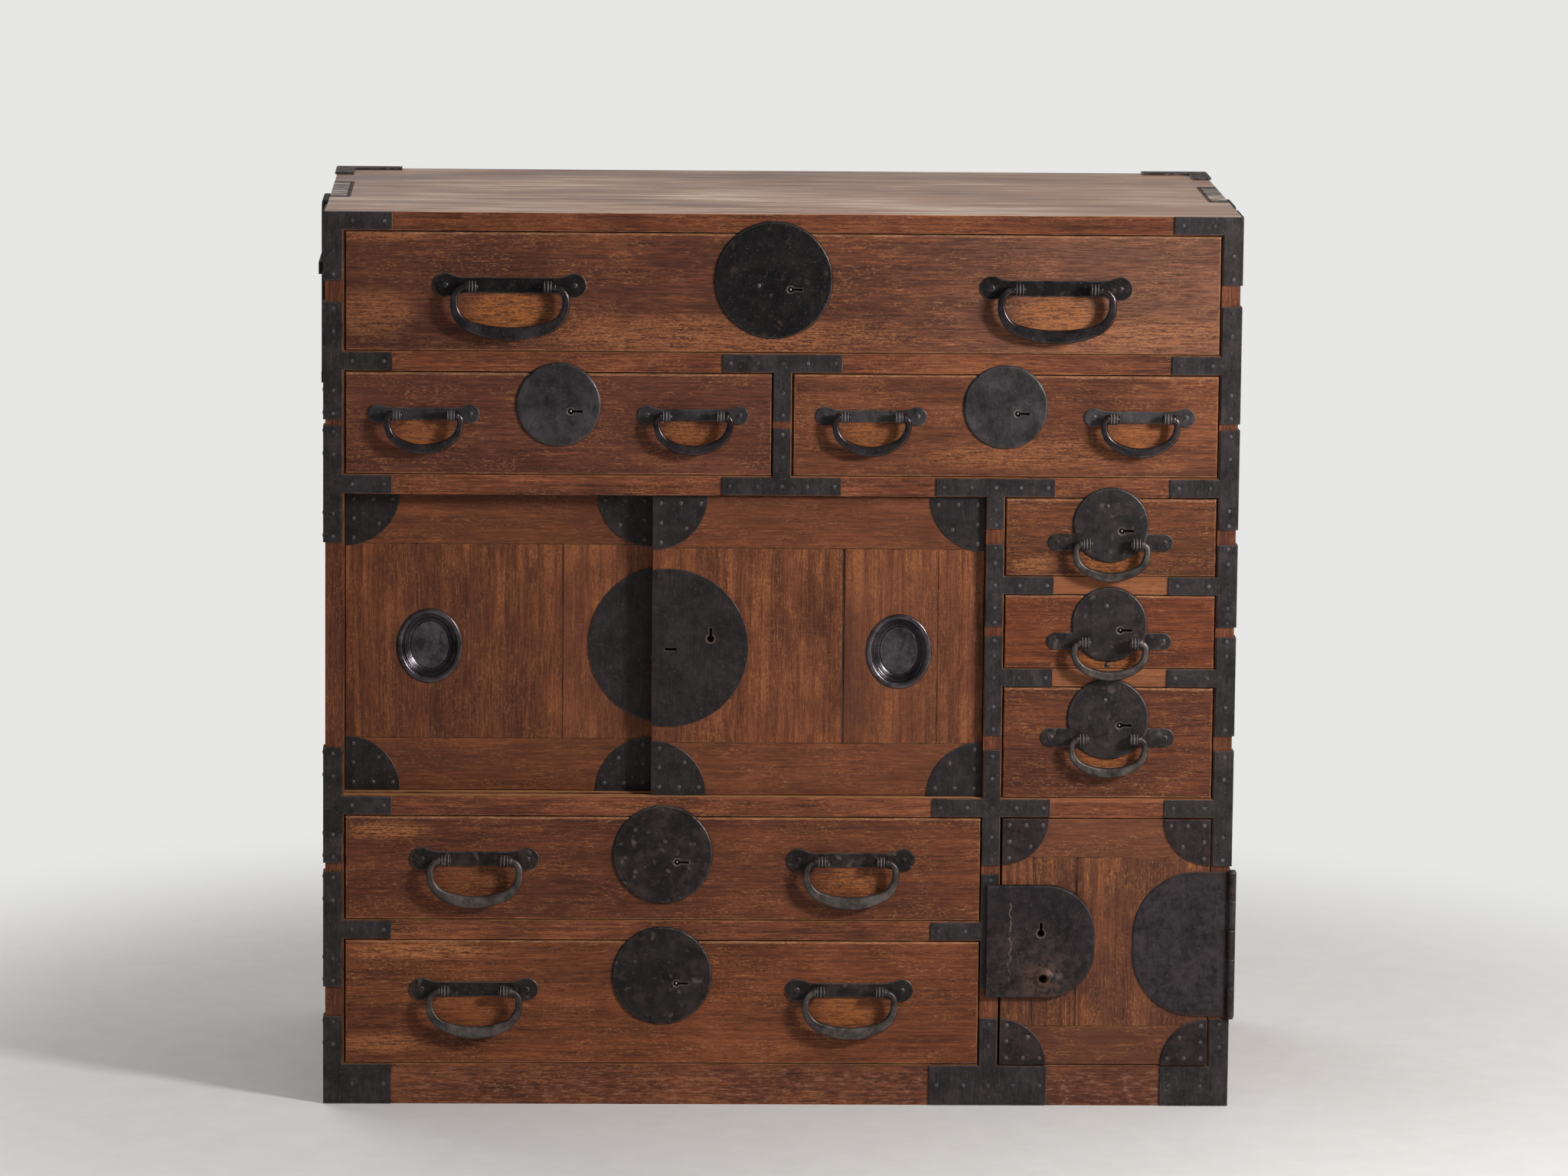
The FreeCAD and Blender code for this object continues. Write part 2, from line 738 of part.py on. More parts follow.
def bail(handle, x, z):
    """Forged bail: tips turned in through the eyes, slim sides and a thicker foot."""
    half_spacing = eye_spacing(handle) / 2
    start = half_spacing + eye_width / 2 + bail_side_gap
    side = handle.width / 2
    neck = handle.neck / 2
    right = bail_half_outline(side, neck, start, -handle.drop)
    right += bail_half_outline(side - handle.side, -neck, start, handle.foot - handle.drop)
    right.append(Part.makeLine(V(start, 0, neck), V(start, 0, -neck)))
    left = [edge.mirror(V(0, 0, 0), V(1, 0, 0)) for edge in right]
    body = Part.Face(Part.Wire(Part.__sortEdges__(right + left))).extrude(V(0, bail_depth, 0))
    body.translate(V(0, -bail_depth / 2, 0))
    rims = [edge for edge in body.Edges
            if edge.BoundBox.YLength < bail_depth / 2 and not at_neck(edge, start)]
    rounding = min(bail_round, handle.neck * bail_round_share)
    body = body.makeFillet(rounding, rims)
    inside = half_spacing - eye_width / 2 - tip_overrun
    tips = [Part.makeCylinder(tip_radius, start + rounding - inside, V(sign * inside, 0, 0), V(sign, 0, 0))
            for sign in (-1, 1)]
    solid = fused([body] + tips)
    solid.translate(V(x, drawer_face_y() - eye_reach, z))
    return solid


def drawer_nodes(drawer):
    """Front, box, ironwork and bails of one drawer."""
    x0, x1 = drawer.x0 + drawer_gap, drawer.x1 - drawer_gap
    z0, z1 = drawer.z0 + drawer_foot_gap, drawer.z1 - drawer_gap
    face, inner = drawer_face_y(), drawer_inner_y()
    end = inner_back_y - drawer_back_gap
    lock_x, lock_z = lock_centre(drawer)

    side_x0, side_x1 = x0 + drawer_side_inset, x1 - drawer_side_inset
    foot = drawer.z0 + slide_clearance
    floor = foot + drawer_bottom_thickness
    rim = z1 - drawer_side_drop
    bottom = box(side_x0, side_x1, inner - drawer_rebate, end, foot, floor)
    left = box(side_x0, side_x0 + drawer_side_thickness, inner - drawer_rebate, end, floor, rim)
    right = box(side_x1 - drawer_side_thickness, side_x1, inner - drawer_rebate, end, floor, rim)
    back = box(side_x0 + drawer_side_thickness, side_x1 - drawer_side_thickness,
               end - drawer_back_thickness, end, floor, rim - drawer_back_drop)

    front = front_chamfer(box(x0, x1, face, inner, z0, z1), edge_chamfer)
    key = keyhole(lock_x + drawer.lock_radius * keyhole_side_share,
                  lock_z - drawer.lock_radius * keyhole_drop_share,
                  face - lock_plate_thickness, lock_plate_thickness + drawer_front_thickness)
    pins = []
    holes = []
    plates = []
    nodes = {}
    for name, x, z in handle_centres(drawer):
        plates.append(handle_plate(drawer.handle, x, z))
        for sign in (-1, 1):
            eye_x = x + sign * eye_spacing(drawer.handle) / 2
            pins.append(eye_pin(eye_x, z))
            holes.append(shank_cutter(eye_x, z))
        label = "bail" if name == "middle" else "bail_" + name
        nodes[drawer.name + "_" + label] = bail(drawer.handle, x, z)
    lock_plate = round_plate(lock_x, lock_z, drawer.lock_radius, face, lock_plate_thickness, lock_plate_bevel)
    heads = []
    lobe_inset = drawer.handle.plate_length / 2 - drawer.handle.lobe
    for name, x, z in handle_centres(drawer):
        heads += [nail(x + sign * lobe_inset, z, face - handle_plate_thickness) for sign in (-1, 1)]
    if len(plates) == 1:
        plates = [fused([lock_plate, plates[0]]).cut(holes + [key])]
    else:
        plates = [plate.cut(holes) for plate in plates] + [lock_plate.cut(key)]
    case_top = z1 - lock_case_drop
    half = lock_case_width / 2
    case = box(lock_x - half, lock_x + half, inner, inner + lock_case_depth, case_top - lock_case_height, case_top)
    bolt = box(lock_x - lock_bolt_width / 2, lock_x + lock_bolt_width / 2, lock_bolt_y(),
               lock_bolt_y() + lock_bolt_depth, case_top, z1 - lock_bolt_gap)
    nodes[drawer.name + "_front"] = front.cut([bottom, left, right, key] + holes)
    nodes[drawer.name + "_box"] = group([bottom, left, right, back])
    nodes[drawer.name + "_ironwork"] = group(plates + pins + [case, bolt] + heads)
    return nodes


# Sliding doors

def front_door_y():
    """Face of the front (right) sliding door."""
    return front_y + door_recess


def rear_door_y():
    """Face of the rear (left) sliding door."""
    return front_door_y() + door_thickness + door_spacing


def door_width():
    """Width of each sliding door."""
    return (partition_x0 + inner_x - 2 * door_end_gap + door_overlap) / 2


def front_door_x0():
    """Free edge of the front door when it is closed."""
    return partition_x0 - door_end_gap - door_width()


def rear_door_x1():
    """Free edge of the rear door when it is closed."""
    return door_width() + door_end_gap - inner_x


def split_plate_centre():
    """Centre of the round plate that is shared by both doors."""
    return front_door_x0() + split_plate_inset, (bay_z0 + bay_z1) / 2 - split_plate_drop


def boarded_door(x0, x1, z0, z1, face, thickness, batten, seam_shares):
    """Upright boards tongued into a batten across the top and one across the foot."""
    middle = face + thickness / 2
    half = board_tongue_thickness / 2
    stops = [x0] + [x0 + (x1 - x0) * share for share in seam_shares] + [x1]
    boards = []
    for left, right in zip(stops, stops[1:]):
        board = front_chamfer(box(left, right, face, face + thickness, z0 + batten, z1 - batten), seam_chamfer)
        tongue = box(left, right, middle - half, middle + half, z0 + batten - board_tongue, z1 - batten + board_tongue)
        boards.append(fused([board, tongue]))
    foot = front_chamfer(box(x0, x1, face, face + thickness, z0, z0 + batten), seam_chamfer)
    head = front_chamfer(box(x0, x1, face, face + thickness, z1 - batten, z1), seam_chamfer)
    return [foot.cut(boards), head.cut(boards)] + boards


def quarter_plate(x, z, x_sense, z_sense, radius, back, thickness):
    """Quarter disc that protects a door corner; its straight edges lie on the door's edges."""
    plate = disc(x, z, radius, back, thickness)
    quarter = box(x, x + x_sense * radius, back - thickness - overrun, back + overrun, z, z + z_sense * radius)
    return plate.common(quarter).Solids[0]


def meeting_plate(x, hidden_x, z, z_sense, radius, back, thickness):
    """Corner plate of the rear door that runs on behind the front door, as far as hidden_x."""
    quarter = quarter_plate(x, z, -1, z_sense, radius, back, thickness)
    return fused([quarter, box(x, hidden_x, back - thickness, back, z, z + z_sense * radius)])


def quarter_nails(x, z, x_sense, z_sense, radius, seat):
    """Nails of one corner plate: three along each straight edge and one near the arc."""
    near_share, middle_share, far_share, arc_share = 0.14, 0.5, 0.86, 0.6
    places = [(near_share, near_share), (middle_share, near_share), (far_share, near_share),
              (near_share, middle_share), (near_share, far_share), (arc_share, arc_share)]
    return [nail(x + x_sense * radius * across, z + z_sense * radius * up, seat) for across, up in places]


def oval(x, z, half_x, half_z, y):
    """Upright oval outline on the plane at y."""
    shape = Part.Ellipse(V(0, 0, 0), half_z, half_x).toShape()
    shape.rotate(V(0, 0, 0), V(0, 1, 0), -90)
    shape.rotate(V(0, 0, 0), V(0, 0, 1), 90)
    shape.translate(V(x, y, z))
    return Part.Wire(shape)


def oval_block(x, z, half_x, half_z, y0, y1):
    """Solid oval between two planes."""
    return Part.Face(oval(x, z, half_x, half_z, y0)).extrude(V(0, y1 - y0, 0))


def pull_cutter(x, z, face):
    """Hole in the door for the cup of a pull."""
    return oval_block(x, z, pull_half_width - pull_rim + pull_wall, pull_half_height - pull_rim + pull_wall,
                      face - overrun, face + pull_cup_depth)


def pull(x, z, face):
    """Sunk finger pull: a raised oval rim round a shallow cup."""
    wide, tall = pull_half_width, pull_half_height
    top = face - pull_rim_height
    outer = front_chamfer(oval_block(x, z, wide, tall, face, top), pull_bevel)
    cup = oval_block(x, z, wide - pull_rim + pull_wall, tall - pull_rim + pull_wall, face, face + pull_cup_depth)
    hollow = oval_block(x, z, wide - pull_rim, tall - pull_rim, top - overrun, face + pull_cup_depth - pull_wall)
    return fused([outer, cup]).cut(hollow)


def bolt_slot(x, z, y0, y1, clearance):
    """Flat slot, or with no clearance the bolt itself, through the meeting edges of the doors."""
    half_x, half_z = door_bolt_width / 2 + clearance, door_bolt_height / 2 + clearance
    return box(x - half_x, x + half_x, y0, y1, z - half_z, z + half_z)


def sliding_door_nodes():
    """Both sliding doors with their plates, and the bolt that pins them together."""
    z0, z1 = bay_z0 + door_shoulder_gap, bay_z1 - door_head_gap
    width = door_width()
    plate_x, plate_z = split_plate_centre()
    slot_x, slot_z = plate_x + door_slot_side, plate_z - door_slot_drop
    pull_z = (bay_z0 + bay_z1) / 2 - pull_drop
    doors = (
        ("front_door", front_door_x0(), front_door_y(), front_door_seam_shares, 1),
        ("rear_door", rear_door_x1() - width, rear_door_y(), rear_door_seam_shares, -1),
    )
    nodes = {}
    for name, x0, face, seam_shares, outer in doors:
        x1 = x0 + width
        pull_x = (x1 if outer > 0 else x0) - outer * pull_inset
        back = face + door_thickness
        if outer > 0:
            slot = bolt_slot(slot_x, slot_z, face - pull_rim_height - overrun, back + overrun, bolt_clearance)
        else:
            slot = bolt_slot(slot_x, slot_z, face - pull_rim_height - overrun, face + door_bolt_socket,
                             bolt_clearance)
        key = door_keyhole(plate_x + door_keyhole_side, plate_z + door_keyhole_rise,
                           face - door_iron, door_thickness)
        cutters = [pull_cutter(pull_x, pull_z, face), slot] + ([key] if outer > 0 else [])
        foot, head, *boards = boarded_door(x0, x1, z0, z1, face, door_thickness, door_batten, seam_shares)
        middle, half = face + door_thickness / 2, door_tongue_thickness / 2
        foot = fused([foot, box(x0, x1, middle - half, middle + half, z0 - door_shoulder_gap - lower_tongue, z0)])
        head = fused([head, box(x0, x1, middle - half, middle + half, z1, z1 + door_head_gap + upper_tongue)])
        nodes[name + "_boards"] = group([foot, head] + [board.cut(cutters) for board in boards])
        plates, heads = [], []
        meeting_x = x1 if outer > 0 else front_door_x0()
        for z, z_sense in ((z0, 1), (z1, -1)):
            plates.append(quarter_plate(x0, z, 1, z_sense, door_corner_radius, face, door_iron))
            if outer > 0:
                plates.append(quarter_plate(x1, z, -1, z_sense, door_corner_radius, face, door_iron))
            else:
                plates.append(meeting_plate(meeting_x, x1, z, z_sense, door_corner_radius, face, door_iron))
            heads += quarter_nails(x0, z, 1, z_sense, door_corner_radius, face - door_iron)
            heads += quarter_nails(meeting_x, z, -1, z_sense, door_corner_radius, face - door_iron)
        limit = box(x0, x1, face - 2 * door_iron, face + door_iron,
                    plate_z - split_plate_radius - overrun, plate_z + split_plate_radius + overrun)
        plate = disc(plate_x, plate_z, split_plate_radius, face, door_iron).common(limit)
        plates.append(plate.cut(cutters[1:]).Solids[0])
        nodes[name + "_ironwork"] = group(plates + heads)
        nodes[name + "_pull"] = pull(pull_x, pull_z, face)
    end = front_door_y() + door_thickness - door_bolt_setback
    nodes["sliding_door_bolt"] = bolt_slot(slot_x, slot_z, end - door_bolt_length, end, 0)
    return nodes


# Cupboard door with its corner hinge

def hinge_axis():
    """Centre of the hinge pin, outside the front right corner."""
    return half_width + hinge_axis_side, front_y - hinge_axis_front


def hinge_band():
    """Lower and upper end of the hinge."""
    middle = (base_height + third_z1) / 2 - hinge_rise
    return middle - hinge_height / 2, middle + hinge_height / 2


def inner_bolt_y0():
    """Front of the cupboard bolt, inside its box lock."""
    return drawer_inner_y() + (inner_lock_depth - inner_bolt_depth) / 2


def inner_bolt_z():
    """Height of the cupboard bolt."""
    return (base_height + third_z1) / 2 + hasp_keyhole_rise


def knuckle_spans(moving):
    """Lower and upper ends of the knuckles that belong to the door leaf, or to the side leaf."""
    low, high = hinge_band()
    step = (high - low) / hinge_knuckles
    half_gap = hinge_knuckle_gap / 2
    spans = []
    for count in range(1 if moving else 0, hinge_knuckles, 2):
        z0 = low + step * count + (half_gap if count > 0 else 0)
        z1 = low + step * (count + 1) - (half_gap if count < hinge_knuckles - 1 else 0)
        spans.append((z0, z1))
    return spans


def cupboard_nodes():
    """Cupboard door, its ironwork, the fixed hinge leaf, the pin and the bolt."""
    x0, x1 = partition_x1 + cupboard_free_gap, inner_x - cupboard_hinge_gap
    z0, z1 = base_height + cupboard_foot_gap, third_z1 - cupboard_head_gap
    face, inner = drawer_face_y(), drawer_inner_y()
    middle_z = (base_height + third_z1) / 2
    low, high = hinge_band()
    pin_x, pin_y = hinge_axis()

    hasp_x0 = partition_x1 - hasp_left
    hasp_z = middle_z + hasp_rise
    hasp_z0, hasp_z1 = hasp_z - hasp_height / 2, hasp_z + hasp_height / 2
    key_x, key_z = hasp_x0 + hasp_keyhole_side, middle_z + hasp_keyhole_rise
    boss_x, boss_z = hasp_x0 + hasp_boss_side, middle_z - hasp_boss_drop
    key = door_keyhole(key_x, key_z, face - hasp_depth, hasp_depth + drawer_front_thickness)
    stem = disc(boss_x, boss_z, hasp_boss_stem, face + drawer_front_thickness / 2, drawer_front_thickness)

    boards = boarded_door(x0, x1, z0, z1, face, drawer_front_thickness, cupboard_batten, cupboard_seam_shares)
    nodes = {"cupboard_door_boards": group([board.cut([key, stem]) for board in boards])}

    def hasp_block(shrink, depth0, depth1):
        outline = rounded_outline(hasp_x0 + shrink, hasp_x0 + hasp_width - shrink, hasp_z0 + shrink,
                                  hasp_z1 - shrink, hasp_corner - shrink, face - depth1)
        return Part.Face(outline).extrude(V(0, depth1 - depth0, 0))

    shell = front_chamfer(hasp_block(0, hasp_depth, 0), hasp_wall / 2)
    hollow = hasp_block(hasp_wall, hasp_depth - hasp_wall, -overrun)
    relief = box(hasp_x0 - overrun, x0 + hasp_overhang_gap, front_y - iron - hasp_overhang_gap, face + overrun,
                 hasp_z0 - overrun, hasp_z1 + overrun)
    boss = Part.makeCone(hasp_boss_radius, hasp_boss_top_radius, hasp_boss_height,
                         V(boss_x, face - hasp_depth, boss_z), V(0, -1, 0))
    eye = disc(boss_x, boss_z, hasp_boss_hole, face, hasp_depth + hasp_boss_height + overrun)
    hasp = fused([shell, boss]).cut([hollow, relief, key, eye])

    leaf_x1 = pin_x - hinge_barrel_radius - hinge_leaf_gap
    outline = rounded_outline(leaf_x1, pin_x - hinge_barrel_radius - hinge_leaf_width, low, high, hinge_corner, face)
    leaf = Part.Face(outline).extrude(V(0, -iron, 0))
    bore = Part.makeCylinder(hinge_pin_radius + hinge_pin_clearance, hinge_height + 2 * overrun,
                             V(pin_x, pin_y, low - overrun))
    moving = []
    for z0_knuckle, z1_knuckle in knuckle_spans(True):
        moving.append(Part.makeCylinder(hinge_barrel_radius, z1_knuckle - z0_knuckle, V(pin_x, pin_y, z0_knuckle)))
        moving.append(box(leaf_x1 - overrun, pin_x, face - iron, face, z0_knuckle, z1_knuckle))
    door_leaf = fused([leaf] + moving).cut(bore)

    plates, heads = [], []
    for x, x_sense in ((x0, 1), (x1, -1)):
        for z, z_sense in ((z0, 1), (z1, -1)):
            plates.append(quarter_plate(x, z, x_sense, z_sense, cupboard_corner_radius, face, iron))
            heads += quarter_nails(x, z, x_sense, z_sense, cupboard_corner_radius, face - iron)
    lock_x0 = x0 + inner_lock_inset
    lock_z = inner_bolt_z()
    half = inner_lock_height / 2
    wall = inner_lock_wall
    case = box(lock_x0, lock_x0 + inner_lock_width, inner, inner + inner_lock_depth, lock_z - half, lock_z + half)
    room = box(lock_x0 + wall, lock_x0 + inner_lock_width - wall, inner + wall, inner + inner_lock_depth - wall,
               lock_z - half + wall, lock_z + half - wall)
    bolt_x0 = x0 + inner_bolt_tip
    bolt_y = inner_bolt_y0()
    half_bolt = inner_bolt_height / 2
    mouth = box(lock_x0 - overrun, lock_x0 + wall + overrun, bolt_y - bolt_clearance,
                bolt_y + inner_bolt_depth + bolt_clearance,
                lock_z - half_bolt - bolt_clearance, lock_z + half_bolt + bolt_clearance)
    nodes["cupboard_door_ironwork"] = group(plates + [hasp, door_leaf, case.cut([room, mouth])] + heads)
    nodes["cupboard_bolt"] = box(bolt_x0, bolt_x0 + inner_bolt_length, bolt_y, bolt_y + inner_bolt_depth,
                                 lock_z - half_bolt, lock_z + half_bolt)

    side_leaf = box(half_width, half_width + iron, front_y + hinge_leaf_gap, front_y + hinge_side_leaf, low, high)
    fixed = []
    for z0_knuckle, z1_knuckle in knuckle_spans(False):
        fixed.append(Part.makeCylinder(hinge_barrel_radius, z1_knuckle - z0_knuckle, V(pin_x, pin_y, z0_knuckle)))
        fixed.append(box(half_width, half_width + iron, pin_y, front_y + hinge_side_leaf, z0_knuckle, z1_knuckle))
    fixed_leaf = fused([side_leaf] + fixed).cut(bore)
    pin = Part.makeCylinder(hinge_pin_radius, hinge_height, V(pin_x, pin_y, low))
    caps = [Part.makeCylinder(hinge_pin_head_radius, hinge_pin_head, V(pin_x, pin_y, z))
            for z in (low - hinge_pin_head, high)]
    nodes["cupboard_hinge"] = group([fixed_leaf, fused([pin] + caps)])
    return nodes


def rounded_outline(flat_x, round_x, z0, z1, corner, y):
    """Outline of a plate with a straight edge at flat_x and two round corners at round_x."""
    sense = 1 if round_x > flat_x else -1
    bend_x = round_x - sense * corner
    slant = corner * math.sqrt(0.5)
    edges = [
        Part.makeLine(V(bend_x, y, z0), V(flat_x, y, z0)),
        Part.makeLine(V(flat_x, y, z0), V(flat_x, y, z1)),
        Part.makeLine(V(flat_x, y, z1), V(bend_x, y, z1)),
        Part.Arc(V(bend_x, y, z1), V(bend_x + sense * slant, y, z1 - corner + slant),
                 V(round_x, y, z1 - corner)).toShape(),
        Part.makeLine(V(round_x, y, z1 - corner), V(round_x, y, z0 + corner)),
        Part.Arc(V(round_x, y, z0 + corner), V(bend_x + sense * slant, y, z0 + corner - slant),
                 V(bend_x, y, z0)).toShape(),
    ]
    return Part.Wire(edges)


# Lifting loops on the sides

def loop_y():
    """Middle of the lifting loops, measured along the depth."""
    return front_y + carcass_depth * loop_setback_share


def loop_inner():
    """Distance of a loop's inner face from the middle of the chest."""
    return half_width + loop_stand_off


def guide_z1():
    """Upper edge of the guides."""
    return carcass_height - guide_drop


def loop_low():
    """Underside of the loop's feet at rest."""
    return carcass_height - loop_top_gap - loop_height


def loop_travel():
    """Lift of the loops until their feet meet the guides."""
    return guide_z1() - guide_height - loop_low() - loop_foot_height - loop_stop_gap


def lifting_loop(side):
    """Iron bar bent to a tall U, open at the foot, with feet that stop it under its guide."""
    y, half = loop_y(), loop_width / 2
    top, low = loop_low() + loop_height, loop_low()
    bend, inner_bend = loop_bend, loop_bend - loop_bar
    slant = math.sqrt(0.5)
    edges = []
    for reach, crest, radius in ((half, top, bend), (half - loop_bar, top - loop_bar, inner_bend)):
        for sign in (-1, 1):
            corner = V(0, y + sign * (reach - radius), crest - radius)
            side_end = V(0, y + sign * reach, crest - radius)
            top_end = V(0, y + sign * (reach - radius), crest)
            middle = corner + V(0, sign * radius * slant, radius * slant)
            edges.append(Part.Arc(side_end, middle, top_end).toShape())
            edges.append(Part.makeLine(side_end, V(0, y + sign * reach, low)))
        edges.append(Part.makeLine(V(0, y - reach + radius, crest), V(0, y + reach - radius, crest)))
    for sign in (-1, 1):
        edges.append(Part.makeLine(V(0, y + sign * half, low), V(0, y + sign * (half - loop_bar), low)))
    body = Part.Face(Part.Wire(Part.__sortEdges__(edges))).extrude(V(loop_bar_depth, 0, 0))
    rims = [edge for edge in body.Edges if edge.BoundBox.XLength < loop_bar_depth / 2
            and edge.BoundBox.ZMax > low + loop_round]
    body = body.makeFillet(loop_round, rims)
    feet = [box(0, loop_bar_depth, y + sign * (half - loop_bar / 2) - loop_foot_width / 2,
                y + sign * (half - loop_bar / 2) + loop_foot_width / 2, low, low + loop_foot_height)
            for sign in (-1, 1)]
    solid = fused([body] + feet)
    solid.translate(V(loop_inner() if side > 0 else -loop_inner() - loop_bar_depth, 0, 0))
    return solid


def pole_guides():
    """On each side, a strap bent out over both legs of the loop, and a ledge under each foot."""
    y, half = loop_y(), loop_width / 2 + guide_clearance
    z1, z0 = guide_z1(), guide_z1() - guide_height
    reach = loop_stand_off + loop_bar_depth + guide_clearance
    solids = []
    for side in (-1, 1):
        near, far = side * half_width, side * (half_width + reach)
        skin = side * (half_width + reach + guide_thickness)
        ear_skin = side * (half_width + guide_thickness)
        front = box(far, skin, y - half - guide_thickness, y + half + guide_thickness, z0, z1)
        walls = [box(near, skin, y + sign * half, y + sign * (half + guide_thickness), z0, z1) for sign in (-1, 1)]
        ears = [box(near, ear_skin, y + sign * half, y + sign * (half + guide_thickness + guide_ear), z0, z1)
                for sign in (-1, 1)]
        solids.append(fused([front] + walls + ears))
        for sign in (-1, 1):
            foot_y = y + sign * (loop_width - loop_bar) / 2
            ledge_z = loop_low() - rest_gap
            solids.append(box(near, side * (loop_inner() + loop_bar_depth),
                              foot_y - loop_bar, foot_y + loop_bar, ledge_z - rest_height, ledge_z))
            solids.append(side_nail(side, y + sign * (half + guide_thickness + guide_ear / 2), (z0 + z1) / 2,
                                    half_width + guide_thickness))
    return solids


def build():
    """All nodes by name."""
    rail_solids, dust_solids, floor = rails(), dust_boards(), bottom_board()
    housed = rail_solids + dust_solids + [floor]
    pockets = lock_pockets()
    grooves = door_grooves()
    stiles, flats = strap_layout()
    nodes = {
        "top_board": top_board(pockets[:1]),
        "side_boards": group(side_boards(housed)),
        "bottom_board": floor,
        "back_boards": group(back_boards()),
        "front_rails": group([rail.cut(grooves + pockets) for rail in rail_solids]),
        "dust_boards": group(dust_solids),
        "partition_boards": group(partitions(housed)),
        "iron_straps": group([stile_strap(*place) for place in stiles]
                             + [cross_strap(*place) for place in flats]
                             + [back_corner_iron(side, upper) for side in (-1, 1) for upper in (True, False)]),
        "pole_guides": group(pole_guides()),
        "lifting_loop_left": lifting_loop(-1),
        "lifting_loop_right": lifting_loop(1),
    }
    heads = []
    for place in stiles:
        heads += stile_nails(*place)
    for place in flats:
        heads += cross_nails(*place)
    nodes["strap_nails"] = group(heads)
    nodes.update(sliding_door_nodes())
    nodes.update(cupboard_nodes())
    for drawer in drawers:
        nodes.update(drawer_nodes(drawer))
    return nodes


def main():
    """Write one STEP file per node."""
    os.makedirs("parts", exist_ok=True)
    for name, shape in build().items():
        shape.exportStep("parts/" + name + ".step")
        print(name, len(shape.Solids), "solids", "valid" if shape.isValid() else "INVALID")


if __name__ == "__main__":
    main()
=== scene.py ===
import bmesh
import bpy
import math
from mathutils import Matrix, Vector


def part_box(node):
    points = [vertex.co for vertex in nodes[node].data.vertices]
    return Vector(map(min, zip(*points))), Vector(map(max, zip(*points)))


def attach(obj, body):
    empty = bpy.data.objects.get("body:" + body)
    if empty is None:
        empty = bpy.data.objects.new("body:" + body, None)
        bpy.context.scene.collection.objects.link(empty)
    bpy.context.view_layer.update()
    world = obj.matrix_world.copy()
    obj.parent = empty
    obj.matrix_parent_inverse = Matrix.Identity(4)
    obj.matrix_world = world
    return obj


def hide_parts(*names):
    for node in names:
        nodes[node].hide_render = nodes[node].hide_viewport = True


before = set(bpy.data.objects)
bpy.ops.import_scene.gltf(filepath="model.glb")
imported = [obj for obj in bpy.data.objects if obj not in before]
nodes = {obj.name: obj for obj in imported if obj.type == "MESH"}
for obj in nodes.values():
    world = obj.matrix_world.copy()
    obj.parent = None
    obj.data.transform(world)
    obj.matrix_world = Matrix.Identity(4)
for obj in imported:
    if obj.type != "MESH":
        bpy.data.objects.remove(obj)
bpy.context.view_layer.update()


# The bare frame of the case: floor board, thin boards between the rows of drawers and planks nailed on
# the back. They are plain unstained softwood, planed and left to grey, so the grain shows.

per_metre = 1000.0


def span(name, axis):
    """Lowest and highest place of a node along x, y or z, in millimetres."""
    low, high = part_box(name)
    return getattr(low, axis) * per_metre, getattr(high, axis) * per_metre


class Measure:
    """A number, colour or direction read over a surface; sums written with it become Math nodes."""

    def __init__(self, finish, socket):
        self.finish = finish
        self.socket = socket

    def worked(self, operation, *terms):
        return self.finish.node("ShaderNodeMath", {"operation": operation}, dict(enumerate(terms)))

    def __add__(self, other):
        return self.worked("ADD", self, other)

    def __sub__(self, other):
        return self.worked("SUBTRACT", self, other)

    def __rsub__(self, other):
        return self.worked("SUBTRACT", other, self)

    def __mul__(self, other):
        return self.worked("MULTIPLY", self, other)

    def __truediv__(self, other):
        return self.worked("DIVIDE", self, other)

    def __pow__(self, other):
        return self.worked("POWER", self, other)

    def __gt__(self, other):
        return self.worked("GREATER_THAN", self, other)

    def __lt__(self, other):
        return self.worked("LESS_THAN", self, other)

    def __abs__(self):
        return self.worked("ABSOLUTE", self)

    def cosine(self):
        return self.worked("COSINE", self)

    __radd__ = __add__
    __rmul__ = __mul__

    def between(self, low, high):
        """0 below low, 1 above high and an even slope from one to the other."""
        return self.finish.node("ShaderNodeMapRange", {"interpolation_type": "SMOOTHSTEP"},
                                {"Value": self, "From Min": low, "From Max": high})

    def tones(self, *stops):
        """Colour for each value, given as (value, colour) pairs."""
        return self.finish.node("ShaderNodeValToRGB", {"stops": stops}, {"Fac": self})


